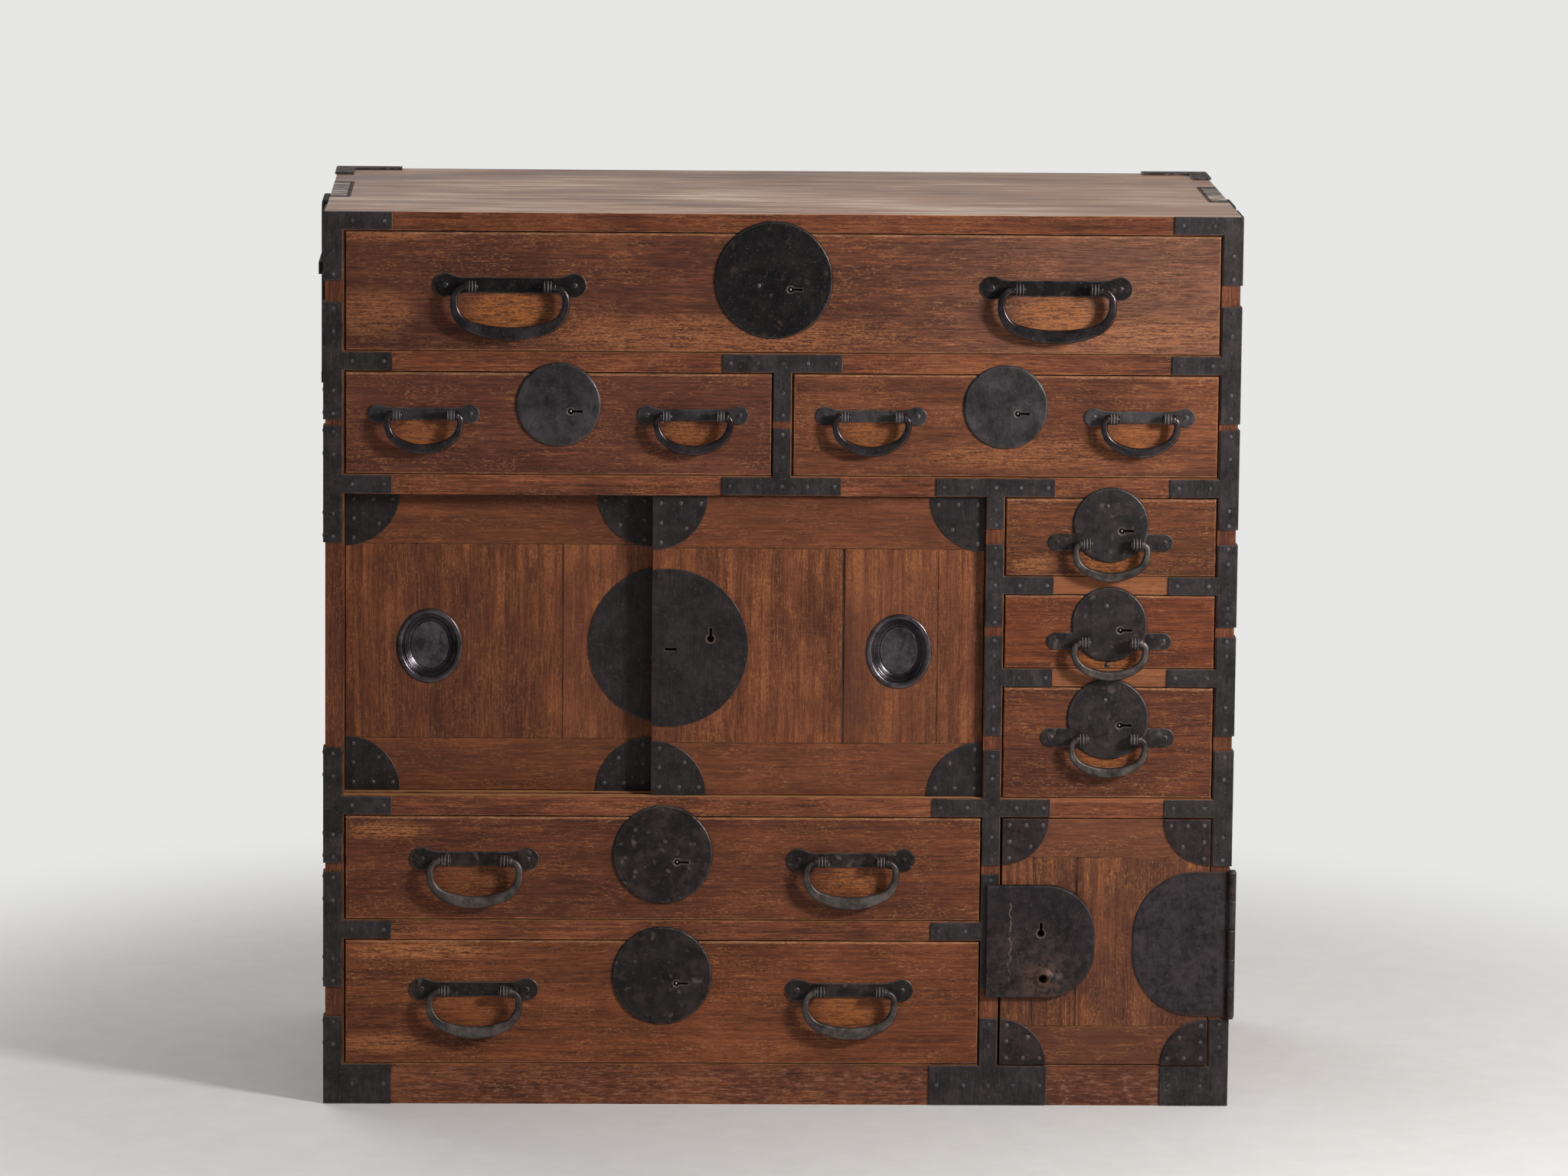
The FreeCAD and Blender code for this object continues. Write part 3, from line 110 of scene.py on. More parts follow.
class Finish:
    """The nodes of one material, or of the studio's air. node() adds one of any kind: its settings first,
    then its sockets."""

    def __init__(self, surface):
        surface.use_nodes = True
        self.material = surface
        self.tree = surface.node_tree
        self.shader = self.tree.nodes.get("Principled BSDF")

    def node(self, kind, settings, sockets, output=0):
        node = self.tree.nodes.new(kind)
        for setting, value in settings.items():
            if setting == "stops":
                set_stops(node.color_ramp, value)
            else:
                setattr(node, setting, value)
        for key, value in sockets.items():
            self.feed(node.inputs[key], value)
        return Measure(self, node.outputs[output])

    def feed(self, socket, value):
        if isinstance(value, Measure):
            self.tree.links.new(value.socket, socket)
        else:
            socket.default_value = value

    def place(self):
        """Where a point lies on the chest, in millimetres."""
        point = self.node("ShaderNodeTexCoord", {}, {}, "Object")
        return self.node("ShaderNodeVectorMath", {"operation": "SCALE"}, {0: point, "Scale": per_metre})

    def parts(self, vector):
        split = self.node("ShaderNodeSeparateXYZ", {}, {0: vector})
        return [Measure(self, socket) for socket in split.socket.node.outputs]

    def joined(self, x, y, z):
        return self.node("ShaderNodeCombineXYZ", {}, {0: x, 1: y, 2: z})

    def facing(self):
        """Direction in which a surface faces, as its parts along x, y and z."""
        return self.parts(self.node("ShaderNodeNewGeometry", {}, {}, "Normal"))

    def blend(self, share, first, second):
        """Second colour laid over the first, by a share from 0 to 1."""
        return self.node("ShaderNodeMix", {"data_type": "RGBA"}, {0: share, 6: first, 7: second}, 2)

    def choice(self, share, first, second):
        """Second place taken instead of the first where the share is 1."""
        return self.node("ShaderNodeMix", {"data_type": "VECTOR"}, {0: share, 4: first, 5: second}, 1)

    def speckle(self, place, sizes, detail=2.0, roughness=0.5, seed=0.0, warp=0.0):
        """Uneven cloud from 0 to 1; sizes are its spots in millimetres along x, y and z."""
        spread = self.node("ShaderNodeMapping", {}, {
            "Vector": place, "Location": (seed, seed * 0.7, seed * 1.3),
            "Scale": tuple(1.0 / size for size in sizes)})
        return self.node("ShaderNodeTexNoise", {}, {
            "Vector": spread, "Scale": 1.0, "Detail": detail, "Roughness": roughness, "Distortion": warp})

    def edges(self, width):
        """1 along the sharp outer edges of a piece, falling to 0 within the width in millimetres."""
        rounded = self.node("ShaderNodeBevel", {"samples": 6}, {"Radius": width / per_metre})
        plain = self.node("ShaderNodeNewGeometry", {}, {}, "Normal")
        agreeing = self.node("ShaderNodeVectorMath", {"operation": "DOT_PRODUCT"}, {0: rounded, 1: plain}, 1)
        return (1.0 - agreeing).between(0.01, 0.1)

    def relief(self, height, depth, softened=0.6):
        """Raised and sunk surface, its sharp edges softened; depth and softening in millimetres."""
        rounded = self.node("ShaderNodeBevel", {"samples": 6}, {"Radius": softened / per_metre})
        return self.node("ShaderNodeBump", {}, {
            "Strength": 1.0, "Distance": depth / per_metre, "Height": height, "Normal": rounded})

    def coat(self, **sockets):
        """Feeds the surface's own sockets, such as base_color for Base Color."""
        for name, value in sockets.items():
            self.feed(self.shader.inputs[name.replace("_", " ").title().replace("Ior", "IOR")], value)


def new_finish(name):
    return Finish(bpy.data.materials.new(name))


def stained(colour):
    """A colour written as red, green and blue from 0 to 255, as Blender's linear values."""
    linear = [((value / 255.0 + 0.055) / 1.055) ** 2.4 for value in colour]
    return (*linear, 1.0)


def set_stops(ramp, stops):
    """Fills a colour ramp from (value, colour) pairs."""
    while len(ramp.elements) < len(stops):
        ramp.elements.new(1.0)
    for element, (position, colour) in zip(ramp.elements, sorted(stops)):
        element.position = position
        element.color = stained(colour)


def dress(names, finish):
    """Gives the finish to pieces whose shape is already right."""
    for name in names:
        for held in nodes[name].material_slots:
            held.material = finish.material


def along_grain(finish, along):
    """Place turned so that its first part runs along the grain."""
    x, y, z = finish.parts(finish.place())
    order = {"x": (x, y, z), "y": (y, x, z), "z": (z, y, x)}[along]
    return finish.joined(*order)


def bare_wood(name, along, seed, light, dark, marks=None):
    """Planed softwood; faces turned to front or back have their grain across."""
    finish = new_finish(name)
    forward = finish.facing()[1]
    lie = finish.choice(abs(forward) > 0.5, along_grain(finish, along), along_grain(finish, "x"))
    rings = finish.speckle(lie, (700.0, 9.0, 9.0), 3.0, 0.6, seed, 0.4)
    fibre = finish.speckle(lie, (45.0, 0.9, 0.9), 2.0, 0.6, seed + 3.0)
    grey = finish.speckle(lie, (160.0, 50.0, 50.0), 3.0, 0.5, seed + 7.0)
    base = (rings * 0.6 + fibre * 0.4).tones((0.36, dark), (0.62, light))
    weathered = finish.blend(grey.between(0.45, 0.75) * 0.35, base, stained((122, 104, 84)))
    if marks:
        weathered = marks(finish, weathered, grey)
    worn = finish.blend(finish.edges(2.0) * 0.35, weathered, stained((186, 158, 120)))
    finish.coat(base_color=worn, roughness=0.62 + fibre * 0.2,
                normal=finish.relief(rings * 0.5 + fibre * 0.5, 0.25))
    return finish


plank_tones = (0.0, 0.3, 0.12, 0.38)
nail_line = 404.0
back_foot, back_head = span("back_boards", "z")


def plank_marks(finish, colour, grey):
    """Each back plank's own tone, dark joints between them and the rusty nails along their ends."""
    x, y, z = finish.parts(finish.place())
    plank_height = (back_head - back_foot) / len(plank_tones)
    for count, tone in enumerate(plank_tones):
        foot = back_foot + plank_height * count
        shade = (z > foot) * (z < foot + plank_height) * tone
        colour = finish.blend(shade, colour, stained((104, 72, 46)))
        joint = abs(z - foot).between(3.0, 1.1)
        colour = finish.blend(joint * 0.85, colour, stained((26, 19, 15)))
        for rise in (0.2, 0.8):
            aside, up = abs(x) - nail_line, z - (foot + plank_height * rise)
            away = (aside * aside + up * up) ** 0.5
            rusty = away.between(11.0, 3.0) * grey.between(0.2, 0.6)
            colour = finish.blend(rusty * 0.5, colour, stained((66, 42, 30)))
            colour = finish.blend(away.between(3.6, 2.8), colour, stained((40, 33, 30)))
    return colour


dress(["bottom_board", "dust_boards"], bare_wood("inner_wood", "x", 1.0, (176, 146, 108), (134, 104, 72)))
dress(["back_boards"], bare_wood("back_wood", "x", 5.0, (158, 120, 82), (108, 76, 50), plank_marks))


# The outside of the case: sides, top, front rails and partitions in close-grained wood stained red-brown.
# The stain is rubbed thin on edges and flats, where the yellow of the wood shows, and the top has dulled.

def rubbed_stain(name, along, seed, deep=(56, 30, 20), middle=(82, 44, 28), warm=(112, 64, 39),
                 rubbing=0.5, edge=0.3, gloss=0.46, marks=None, dirt=None):
    """Stained wood, its stain rubbed through in places. Its grain runs along one axis, or as a function
    of the finish lays it."""
    finish = new_finish(name)
    bare = stained((172, 118, 74))
    lie = along(finish) if callable(along) else along_grain(finish, along)
    sway = finish.speckle(lie, (420.0, 90.0, 90.0), 2.0, 0.5, seed)
    swayed = finish.node("ShaderNodeVectorMath", {"operation": "ADD"},
                         {0: lie, 1: finish.joined(0.0, sway * 16.0, sway * 16.0)})
    rings = finish.speckle(swayed, (700.0, 3.4, 3.4), 4.0, 0.7, seed + 2.0)
    fibre = finish.speckle(swayed, (22.0, 1.3, 1.3), 3.0, 0.75, seed + 4.0)
    pores = finish.speckle(swayed, (9.0, 0.9, 0.9), 1.0, 0.5, seed + 5.0)
    cloud = finish.speckle(lie, (110.0, 40.0, 40.0), 4.0, 0.62, seed + 6.0)
    flecks = finish.speckle(swayed, (3.4, 1.3, 1.3), 2.0, 0.6, seed + 8.0)
    scuffs = finish.speckle(lie, (50.0, 20.0, 20.0), 5.0, 0.7, seed + 10.0)
    scratch = finish.speckle(lie, (70.0, 9.0, 9.0), 1.0, 0.4, seed + 12.0, 0.6)
    tone = cloud * 0.34 + rings * 0.26 + fibre * 0.4
    colour = tone.tones((0.4, deep), (0.5, middle), (0.6, warm))
    colour = finish.blend(pores.between(0.58, 0.68) * 0.6, colour, stained(deep))
    lines = finish.speckle(swayed, (80.0, 1.7, 1.7), 3.0, 0.7, seed + 7.0)
    colour = finish.blend(lines.between(0.5, 0.62) * 0.4, colour, stained(deep))
    colour = finish.blend(lines.between(0.46, 0.36) * 0.25, colour, stained(warm))
    thin = flecks.between(0.54, 0.64) * scuffs.between(0.4, 0.62) * rubbing
    line = abs(scratch - 0.5).between(0.005, 0.0) * scuffs.between(0.46, 0.62) * (rubbing * 0.4)
    colour = finish.blend(thin * 0.36, colour, bare)
    colour = finish.blend(line, colour, stained(warm))
    dashes = finish.speckle(swayed, (13.0, 0.8, 0.8), 1.0, 0.5, seed + 16.0)
    dashed = dashes.between(0.64, 0.74) * scuffs.between(0.36, 0.55) * (rubbing * 0.5)
    colour = finish.blend(dashed, colour, bare)
    if marks:
        colour = marks(finish, colour, fibre, flecks)
    patchy = finish.speckle(lie, (34.0, 12.0, 12.0), 4.0, 0.7, seed + 14.0).between(0.42, 0.56)
    colour = finish.blend(finish.edges(1.5) * patchy * edge, colour, bare)
    grain = fibre * 0.5 + rings * 0.3 - pores * 0.2
    roughness = cloud * 0.18 + fibre * 0.2 + gloss - 0.14
    if dirt:
        roughness = roughness + dirt(finish) * 0.5
    finish.coat(base_color=colour, roughness=roughness, specular_ior_level=0.15,
                normal=finish.relief(grain, 0.3))
    return finish


side_thickness = 18.0
side_front, side_back = span("side_boards", "y")
finger_front = side_front + (side_back - side_front) / 3
finger_back = side_front + (side_back - side_front) * 2 / 3
finger_root = span("side_boards", "x")[1] - side_thickness
case_top = span("top_board", "z")[1]


def finger_joint(x, y):
    """Dark gap round the finger of each side board that stands in the top."""
    beside = abs(y - finger_front).between(7.0, 3.4) + abs(y - finger_back).between(7.0, 3.4)
    root = abs(abs(x) - finger_root).between(2.6, 1.2) * (y > finger_front) * (y < finger_back)
    return beside * (abs(x) > finger_root - 1.5) + root


def joint_dirt(finish):
    """Dull dirt in the gaps round the fingers."""
    x, y, z = finish.parts(finish.place())
    return finger_joint(x, y) * (z > case_top - 0.4)


def dulled(finish, colour, fibre, flecks):
    """The upper face of the top, bleached and scuffed to a grey brown with whitish strokes."""
    x, y, z = finish.parts(finish.place())
    bloom = finish.speckle(finish.place(), (280.0, 100.0, 34.0), 4.0, 0.6, 41.0)
    strokes = finish.speckle(finish.place(), (150.0, 15.0, 9.0), 5.0, 0.68, 44.0)
    grain = finish.speckle(finish.place(), (500.0, 5.0, 9.0), 3.0, 0.6, 46.0, 0.5)
    nearness = y.between(180.0, -205.0) * 0.04
    bleached = (bloom * 0.36 + strokes * 0.36 + grain * 0.18 + fibre * 0.1 + nearness).tones(
        (0.44, (98, 62, 44)), (0.5, (138, 97, 71)), (0.555, (174, 136, 108)), (0.63, (222, 200, 180)))
    # Browner towards the right end.
    bleached = finish.blend(x.between(-60.0, 470.0) * 0.5, bleached, stained((138, 94, 64)))
    grime = abs(x).between(405.0, 438.0) * strokes.between(0.56, 0.44) * 0.4
    bleached = finish.blend(grime, bleached, stained((70, 52, 44)))
    bleached = finish.blend(finger_joint(x, y) * 0.85, bleached, stained((30, 23, 20)))
    return finish.blend((z > case_top - 0.4) * 0.92, colour, bleached)


def finger_ends(finish, colour, fibre, flecks):
    """End grain of the fingers in the top, bleached and cracked, with a dark joint round each."""
    x, y, z = finish.parts(finish.place())
    cracks = finish.speckle(finish.place(), (34.0, 11.0, 11.0), 4.0, 0.72, 48.0)
    ends = cracks.tones((0.45, (34, 26, 22)), (0.5, (112, 92, 78)), (0.62, (186, 168, 152)))
    joint = finger_joint(x, y) * 0.9
    return finish.blend(z > case_top - 0.4, colour, finish.blend(joint, ends, stained((30, 23, 20))))


def ledge_wear(finish, colour, fibre, flecks):
    """Ledges rubbed pale under doors and drawers, a darker band low on the front that deepens towards the
    right, and a kicked and scuffed base rail.
    """
    x, y, z = finish.parts(finish.place())
    ledge = finish.facing()[2].between(0.5, 0.9)
    colour = finish.blend(ledge * (fibre.between(0.3, 0.6) * 0.5 + 0.3), colour, stained((176, 130, 88)))
    short_rails = (x > 206.0) * (z > 300.0) * (z < 590.0)
    colour = finish.blend(short_rails * 0.3, colour, stained((150, 96, 60)))
    kicks = finish.speckle(finish.place(), (12.0, 5.0, 3.0), 5.0, 0.75, 47.0)
    # A darker band along the foot of the front, deeper towards the right.
    base = z.between(60.0, 46.0) * (x.between(-100.0, 420.0) * 0.4 + 0.1)
    colour = finish.blend(base, colour, stained((52, 30, 24)))
    low = z.between(44.0, 26.0)
    colour = finish.blend(kicks.between(0.52, 0.62) * low * 0.55, colour, stained((138, 98, 78)))
    return finish.blend(kicks.between(0.47, 0.38) * low * 0.6, colour, stained((46, 28, 24)))


dress(["top_board"], rubbed_stain("top_wood", "x", 11.0, middle=(92, 50, 33), warm=(124, 72, 45),
                                  rubbing=0.6, edge=0.5, gloss=0.36, marks=dulled, dirt=joint_dirt))
dress(["side_boards"], rubbed_stain("side_wood", "z", 17.0, marks=finger_ends, dirt=joint_dirt))
dress(["front_rails"], rubbed_stain("rail_wood", "x", 23.0, middle=(98, 53, 35), warm=(132, 78, 49),
                                    rubbing=0.8, edge=0.35, marks=ledge_wear))
dress(["partition_boards"], rubbed_stain("partition_wood", "z", 29.0))


# Iron straps and corner irons over the edges of the case, cut from sheet, blackened and lacquered.
# The black has gone thin and brown in spots, and rows of small domed nails hold them.

def black_iron(name, seed, black=(42, 36, 37), brown=(60, 46, 40), pale=(118, 112, 112), gloss=0.46,
               rub=0.6, spots=0.35, uneven=0.3, metal=0.45, brushing=0.3, edge=1.1, rounding=0.9,
               dust=0.4, ridges=None, marks=None):
    """Blackened sheet or forged iron, dull, mottled and painted grey along its edges, partly rubbed wear and
    partly a painted highlight.
    """
    finish = new_finish(name)
    place = finish.place()
    cloud = finish.speckle(place, (26.0, 26.0, 26.0), 6.0, 0.7, seed)
    pits = finish.speckle(place, (2.2, 2.2, 2.2), 3.0, 0.65, seed + 3.0)
    stains = finish.speckle(place, (7.0, 7.0, 7.0), 4.0, 0.72, seed + 5.0)
    brushed = finish.speckle(place, (1.3, 6.0, 22.0), 3.0, 0.7, seed + 7.0)
    tone = cloud * (0.75 - brushing) + stains * 0.25 + brushed * brushing
    colour = tone.tones((0.4, tuple(value * (1.0 - uneven) for value in black)), (0.5, black),
                        (0.6, tuple(value * (1.0 + uneven) for value in black)))
    colour = finish.blend(stains.between(0.54, 0.7) * spots, colour, stained(brown))
    colour = finish.blend(pits.between(0.62, 0.72) * 0.3, colour, stained(pale))
    height = pits * 0.4 + cloud * 0.6
    if marks:
        colour = marks(finish, colour, stains)
    if ridges:
        raised, region = ridges(finish)
        height = height + raised * region * 3.0
        # The ridge crests are painted pale, partly rubbed iron and partly a painted highlight.
        colour = finish.blend(raised * region * 0.7, colour, stained(pale))
    # Pale along the edges: partly rubbed wear and partly a painted highlight on the rims.
    rubbed_edge_and_highlight = finish.edges(edge) * cloud.between(0.34, 0.56) * rub
    colour = finish.blend(rubbed_edge_and_highlight, colour, stained(pale))
    upward = finish.facing()[2]
    roughness = tone * 0.28 - rubbed_edge_and_highlight * 0.16 + upward.between(0.2, 0.8) * dust + gloss - 0.12
    finish.coat(base_color=colour, metallic=metal + rubbed_edge_and_highlight * 0.4, specular_ior_level=0.25,
                roughness=roughness, normal=finish.relief(height, 0.3, rounding))
    return finish


def weathered_top(finish, colour, stains):
    """Iron on the upper face, rubbed brown and grey by what has stood on it."""
    x, y, z = finish.parts(finish.place())
    rubbed = (z > case_top + 0.2) * stains.between(0.46, 0.6)
    return finish.blend(rubbed * 0.4, colour, stained((122, 106, 98)))


dress(["iron_straps"], black_iron("strap_iron", 3.0, black=(40, 35, 36), uneven=0.38, metal=0.3,
                                   marks=weathered_top))
dress(["strap_nails"], black_iron("nail_iron", 9.0, black=(64, 62, 66), brown=(70, 61, 58),
                                  pale=(132, 130, 134), gloss=0.54, metal=0.5))


# Two sliding doors behind the front: upright boards tongued into a batten at head and foot, worn orange
# in streaks. Black iron quarter plates cover their corners, and one round plate is split over both.

batten_height = 51.0
sliding_foot, sliding_head = 304.6, 596.8


def door_lie(foot, head, batten):
    """Grain across on the two battens and upright on the boards between them."""
    def lie(finish):
        x, y, z = finish.parts(finish.place())
        across = (z < foot + batten) + (z > head - batten)
        return finish.choice(across, finish.joined(z, y, x), finish.joined(x, y, z))
    return lie


def bare_behind(finish, colour, fibre, flecks, node):
    """Inner face of a door or drawer front, which was never stained."""
    y = finish.parts(finish.place())[1]
    bare = (fibre * 0.6 + flecks * 0.4).tones((0.4, (106, 76, 48)), (0.6, (172, 134, 90)))
    return finish.blend((y > span(node, "y")[1] - 0.6) * 0.72, colour, bare)


def streaked(node, seams, foot, head, batten, dark_strip_share=0.0):
    """Marks of a boarded door: each board its own tone, orange streaks, a dark line at each seam and a darker
    patch low beside the first one. Each seam has its place and how dark it is."""
    def marks(finish, colour, fibre, flecks):
        x, y, z = finish.parts(finish.place())
        between = (z > foot + batten) * (z < head - batten)
        shades, seam_line = 0.0, 0.0
        for count, (seam, dark) in enumerate(seams):
            shades = shades + (x > seam) * (0.4 if count % 2 == 0 else -0.3)
            seam_line = seam_line + abs(x - seam).between(1.8, 0.7) * dark
        joint = abs(z - foot - batten).between(0.9, 0.2) + abs(z - head + batten).between(0.9, 0.2)
        streaks = finish.speckle(finish.joined(x, y, z), (7.0, 60.0, 170.0), 4.0, 0.66, 51.0)
        rise = ((z - foot) / (head - foot)).between(0.4, 0.9) * 0.11 - 0.05
        patches = finish.speckle(finish.joined(x, y, z), (60.0, 60.0, 80.0), 4.0, 0.6, 53.0) + rise
        broken = flecks.between(0.36, 0.6) * 0.6 + 0.35
        faded = streaks.between(0.4, 0.62) * patches.between(0.38, 0.62) * broken
        across = finish.speckle(finish.joined(x, y, z), (9.0, 9.0, 1.4), 3.0, 0.7, 55.0)
        colour = finish.blend(shades * between * 0.5, colour, stained((112, 66, 46)))
        colour = finish.blend(faded * between * 0.66, colour, stained((146, 88, 50)))
        colour = finish.blend(across.between(0.54, 0.68) * between * 0.3, colour, stained((128, 82, 56)))
        colour = finish.blend((1.0 - between) * 0.12, colour, stained((136, 80, 50)))
        first = seams[0][0]
        # A darker patch low beside the first seam.
        beside = (x > first) * x.between(first + 38.0, first + 6.0) * z.between(530.0, 470.0)
        colour = finish.blend(beside * between * (1.5 - fibre) * dark_strip_share, colour, stained((64, 36, 27)))
        colour = finish.blend(seam_line * between + joint * 0.5, colour, stained((30, 18, 14)))
        return bare_behind(finish, colour, fibre, flecks, node)
    return marks


for name, seams, seed, dark_strip_share in (("front_door", ((61.1, 0.9), (151.7, 0.3)), 31.0, 0.6),
                                  ("rear_door", ((-209.9, 0.6),), 37.0, 0.0)):
    streaks = streaked(name + "_boards", seams, sliding_foot, sliding_head, batten_height, dark_strip_share)
    dress([name + "_boards"], rubbed_stain(
        name + "_wood", door_lie(sliding_foot, sliding_head, batten_height), seed, rubbing=0.6, edge=0.2,
        marks=streaks))


def keyhole_rub_and_shade(finish, colour, stains, key_x, key_z, hole, slot_length, upright):
    """Keyhole and slot painted near-black inside as painted shade, with the pale outline that the key has
    rubbed round them.
    """
    x, y, z = finish.parts(finish.place())
    aside, up = x - key_x, z - key_z
    away = (aside * aside + up * up) ** 0.5
    ahead, across = (up, aside) if upright else (aside, up)
    beyond = ahead - slot_length
    slot = abs(across).between(2.6, 1.9) * (ahead > 0.0) * beyond.between(1.4, 0.7)
    rub = 1.0 - (1.0 - away.between(hole + 1.9, hole + 1.2)) * (1.0 - slot * 0.4)
    colour = finish.blend(rub * stains.between(0.28, 0.5) * 0.4, colour, stained((124, 112, 104)))
    # The hole and slot are painted near-black: painted shade in the opening.
    painted_slot_shade = abs(across).between(1.9, 1.5) * (ahead > 0.0) * beyond.between(0.6, 0.0)
    painted_hole_shade = 1.0 - (1.0 - away.between(hole + 0.7, hole + 0.3)) * (1.0 - painted_slot_shade)
    return finish.blend(painted_hole_shade * 0.92, colour, stained((9, 8, 8)))


split_key_x, split_key_z = -67.1, 457.6
round_hole, key_slot = 3.3, 10.5


def nail_heads(plate_front):
    """Nail heads that stand out past the plates' faces painted paler, partly rubbed wear and partly a painted
    highlight, and a rubbed keyhole painted dark inside as painted shade.
    """
    def marks(finish, colour, stains):
        y = finish.parts(finish.place())[1]
        colour = keyhole_rub_and_shade(finish, colour, stains, split_key_x, split_key_z, round_hole, key_slot, True)
        # The nail heads' paler colour is partly rubbed wear and partly a painted highlight.
        return finish.blend((y < plate_front) * 0.5, colour, stained((84, 79, 78)))
    return marks


for name, seed, plate_front in (("front_door", 13.0, -198.3), ("rear_door", 14.0, -176.8)):
    dress([name + "_ironwork"], black_iron(name + "_iron", seed, black=(39, 34, 35),
                                           marks=nail_heads(plate_front)))


def cup_wear_and_shade(face):
    """Grey scuffs on the flat of a sunk cup, where fingers rub, and its sloped wall painted near-black as
    painted shade in the hollow.
    """
    def marks(finish, colour, stains):
        y = finish.parts(finish.place())[1]
        flat = y.between(face + 4.8, face + 5.5)
        painted_wall_shade = y.between(face + 0.2, face + 1.6) * (1.0 - flat)
        scuff = finish.speckle(finish.place(), (6.0, 6.0, 9.0), 5.0, 0.75, 5.0)
        # The sloped wall is painted near-black: painted shade in the hollow of the cup.
        colour = finish.blend(painted_wall_shade * 0.72, colour, stained((22, 21, 24)))
        return finish.blend(scuff.between(0.46, 0.6) * flat * 0.5, colour, stained((104, 100, 102)))
    return marks


def turns(sides):
    """Angles of the corners of a ring."""
    return [2 * math.pi * step / sides for step in range(sides)]


def ringed_piece(name, rings, body, finish):
    """Piece skinned over rings of points in millimetres, each joined to the next, and closed at both ends."""
    mesh = bmesh.new()
    skin = [[mesh.verts.new(Vector(point) / per_metre) for point in ring] for ring in rings]
    for near, far in zip(skin, skin[1:]):
        for step in range(len(near)):
            after = (step + 1) % len(near)
            mesh.faces.new((near[step], near[after], far[after], far[step])).smooth = True
    mesh.faces.new(list(reversed(skin[0])))
    mesh.faces.new(skin[-1])
    bmesh.ops.recalc_face_normals(mesh, faces=mesh.faces)
    data = bpy.data.meshes.new(name)
    mesh.to_mesh(data)
    mesh.free()
    piece = bpy.data.objects.new(name, data)
    bpy.context.collection.objects.link(piece)
    data.materials.append(finish.material)
    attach(piece, body)
    return piece


# From behind the cup round its rim and down to the flat: how far in from the outline and how far forward.
pull_profile = ((22.0, -7.0), (15.8, -7.0), (14.2, -6.6), (6.7, -1.6), (6.0, -0.8), (6.0, -0.1), (0.2, -0.05),
                (0.0, 0.3), (0.2, 0.95), (0.75, 1.5), (1.7, 1.82), (2.8, 1.88), (3.9, 1.66), (4.8, 1.1),
                (5.5, 0.25), (6.2, -0.9), (7.6, -2.5), (9.4, -4.1), (11.4, -5.4), (12.4, -5.8), (13.2, -5.9),
                (16.4, -5.9), (22.0, -5.75))
pull_half_width, pull_half_height, pull_height = 31.7, 36.5, 446.0
for door, centre_x, face in (("front_door", 115.0, -196.6), ("rear_door", -338.0, -175.1)):
    pull_iron = black_iron(door + "_pull_iron", 15.0, black=(74, 69, 72), rub=0.5, gloss=0.24, metal=0.85,
                           brushing=0.0, dust=0.0, marks=cup_wear_and_shade(face))
    rings = [[(centre_x + (pull_half_width - inset) * math.cos(turn), face - forward,
               pull_height + (pull_half_height - inset) * math.sin(turn)) for turn in turns(72)]
             for inset, forward in pull_profile]
    pull_piece = ringed_piece(door + "_finger_pull", rings, door, pull_iron)
    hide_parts(door + "_pull")
dress(["sliding_door_bolt"], black_iron("door_bolt_iron", 16.0, black=(24, 22, 22), gloss=0.5, rub=0.2))


# Eight drawers: a stained front dovetailed to a plain box of softwood. Wear has laid the wood bare behind
# the handles, where knuckles rub, and chipped the front's edges.

inner_box = bare_wood("drawer_box_wood", "y", 61.0, (190, 160, 120), (150, 118, 84))

# Each handle: its middle, the height of its eyes, half the width of the rubbed wood in it, and how rubbed.
drawers = {
    "top_drawer": ((-261.5, 800.2, 38.0, 0.7), (261.5, 800.2, 38.0, 0.5)),
    "upper_left_drawer": ((-343.5, 676.0, 26.0, 0.45), (-85.5, 676.0, 26.0, 0.5)),
    "upper_right_drawer": ((85.5, 676.0, 26.0, 0.45), (343.5, 676.0, 26.0, 0.45)),
    "long_drawer": ((-293.5, 242.5, 31.0, 0.2), (70.5, 242.5, 31.0, 0.42)),
    "bottom_drawer": ((-293.5, 114.0, 31.0, 0.2), (70.5, 114.0, 31.0, 0.42)),
    "small_drawer_one": ((317.5, 554.8, 26.0, 0.5),),
    "small_drawer_two": ((317.5, 458.5, 26.0, 0.5),),
    "small_drawer_three": ((317.5, 364.2, 26.0, 0.5),),
}
front_tones = {
    "top_drawer": ((52, 28, 20), (76, 42, 30), (109, 62, 40)),
    "upper_left_drawer": ((58, 31, 23), (80, 44, 32), (104, 59, 40)),
    "upper_right_drawer": ((62, 33, 22), (88, 49, 32), (118, 69, 43)),
    "long_drawer": ((56, 29, 19), (84, 45, 29), (108, 60, 37)),
    "bottom_drawer": ((60, 30, 18), (94, 51, 31), (118, 66, 39)),
    "small_drawer_one": ((54, 28, 17), (78, 43, 26), (106, 61, 36)),
    "small_drawer_two": ((58, 29, 16), (88, 44, 25), (112, 59, 32)),
    "small_drawer_three": ((52, 26, 16), (78, 41, 27), (102, 57, 34)),
}

# Rubbed places elsewhere on the fronts: their middle along x and z, half their size, and how rubbed.
rubbed_flats = {
    "long_drawer": ((-376.0, 270.0, 40.0, 9.0, 0.6),),
    "bottom_drawer": ((-342.0, 151.0, 80.0, 9.0, 0.8), (-380.0, 60.0, 46.0, 12.0, 0.5)),
    "top_drawer": ((-60.0, 752.0, 190.0, 20.0, 0.42), (-395.0, 772.0, 40.0, 26.0, 0.42),
                   (-390.0, 846.0, 60.0, 5.0, 0.5), (330.0, 756.0, 110.0, 22.0, 0.42)),
    "upper_right_drawer": ((240.0, 640.0, 120.0, 16.0, 0.42),),
    "small_drawer_one": ((244.0, 533.0, 22.0, 10.0, 0.45),),
}


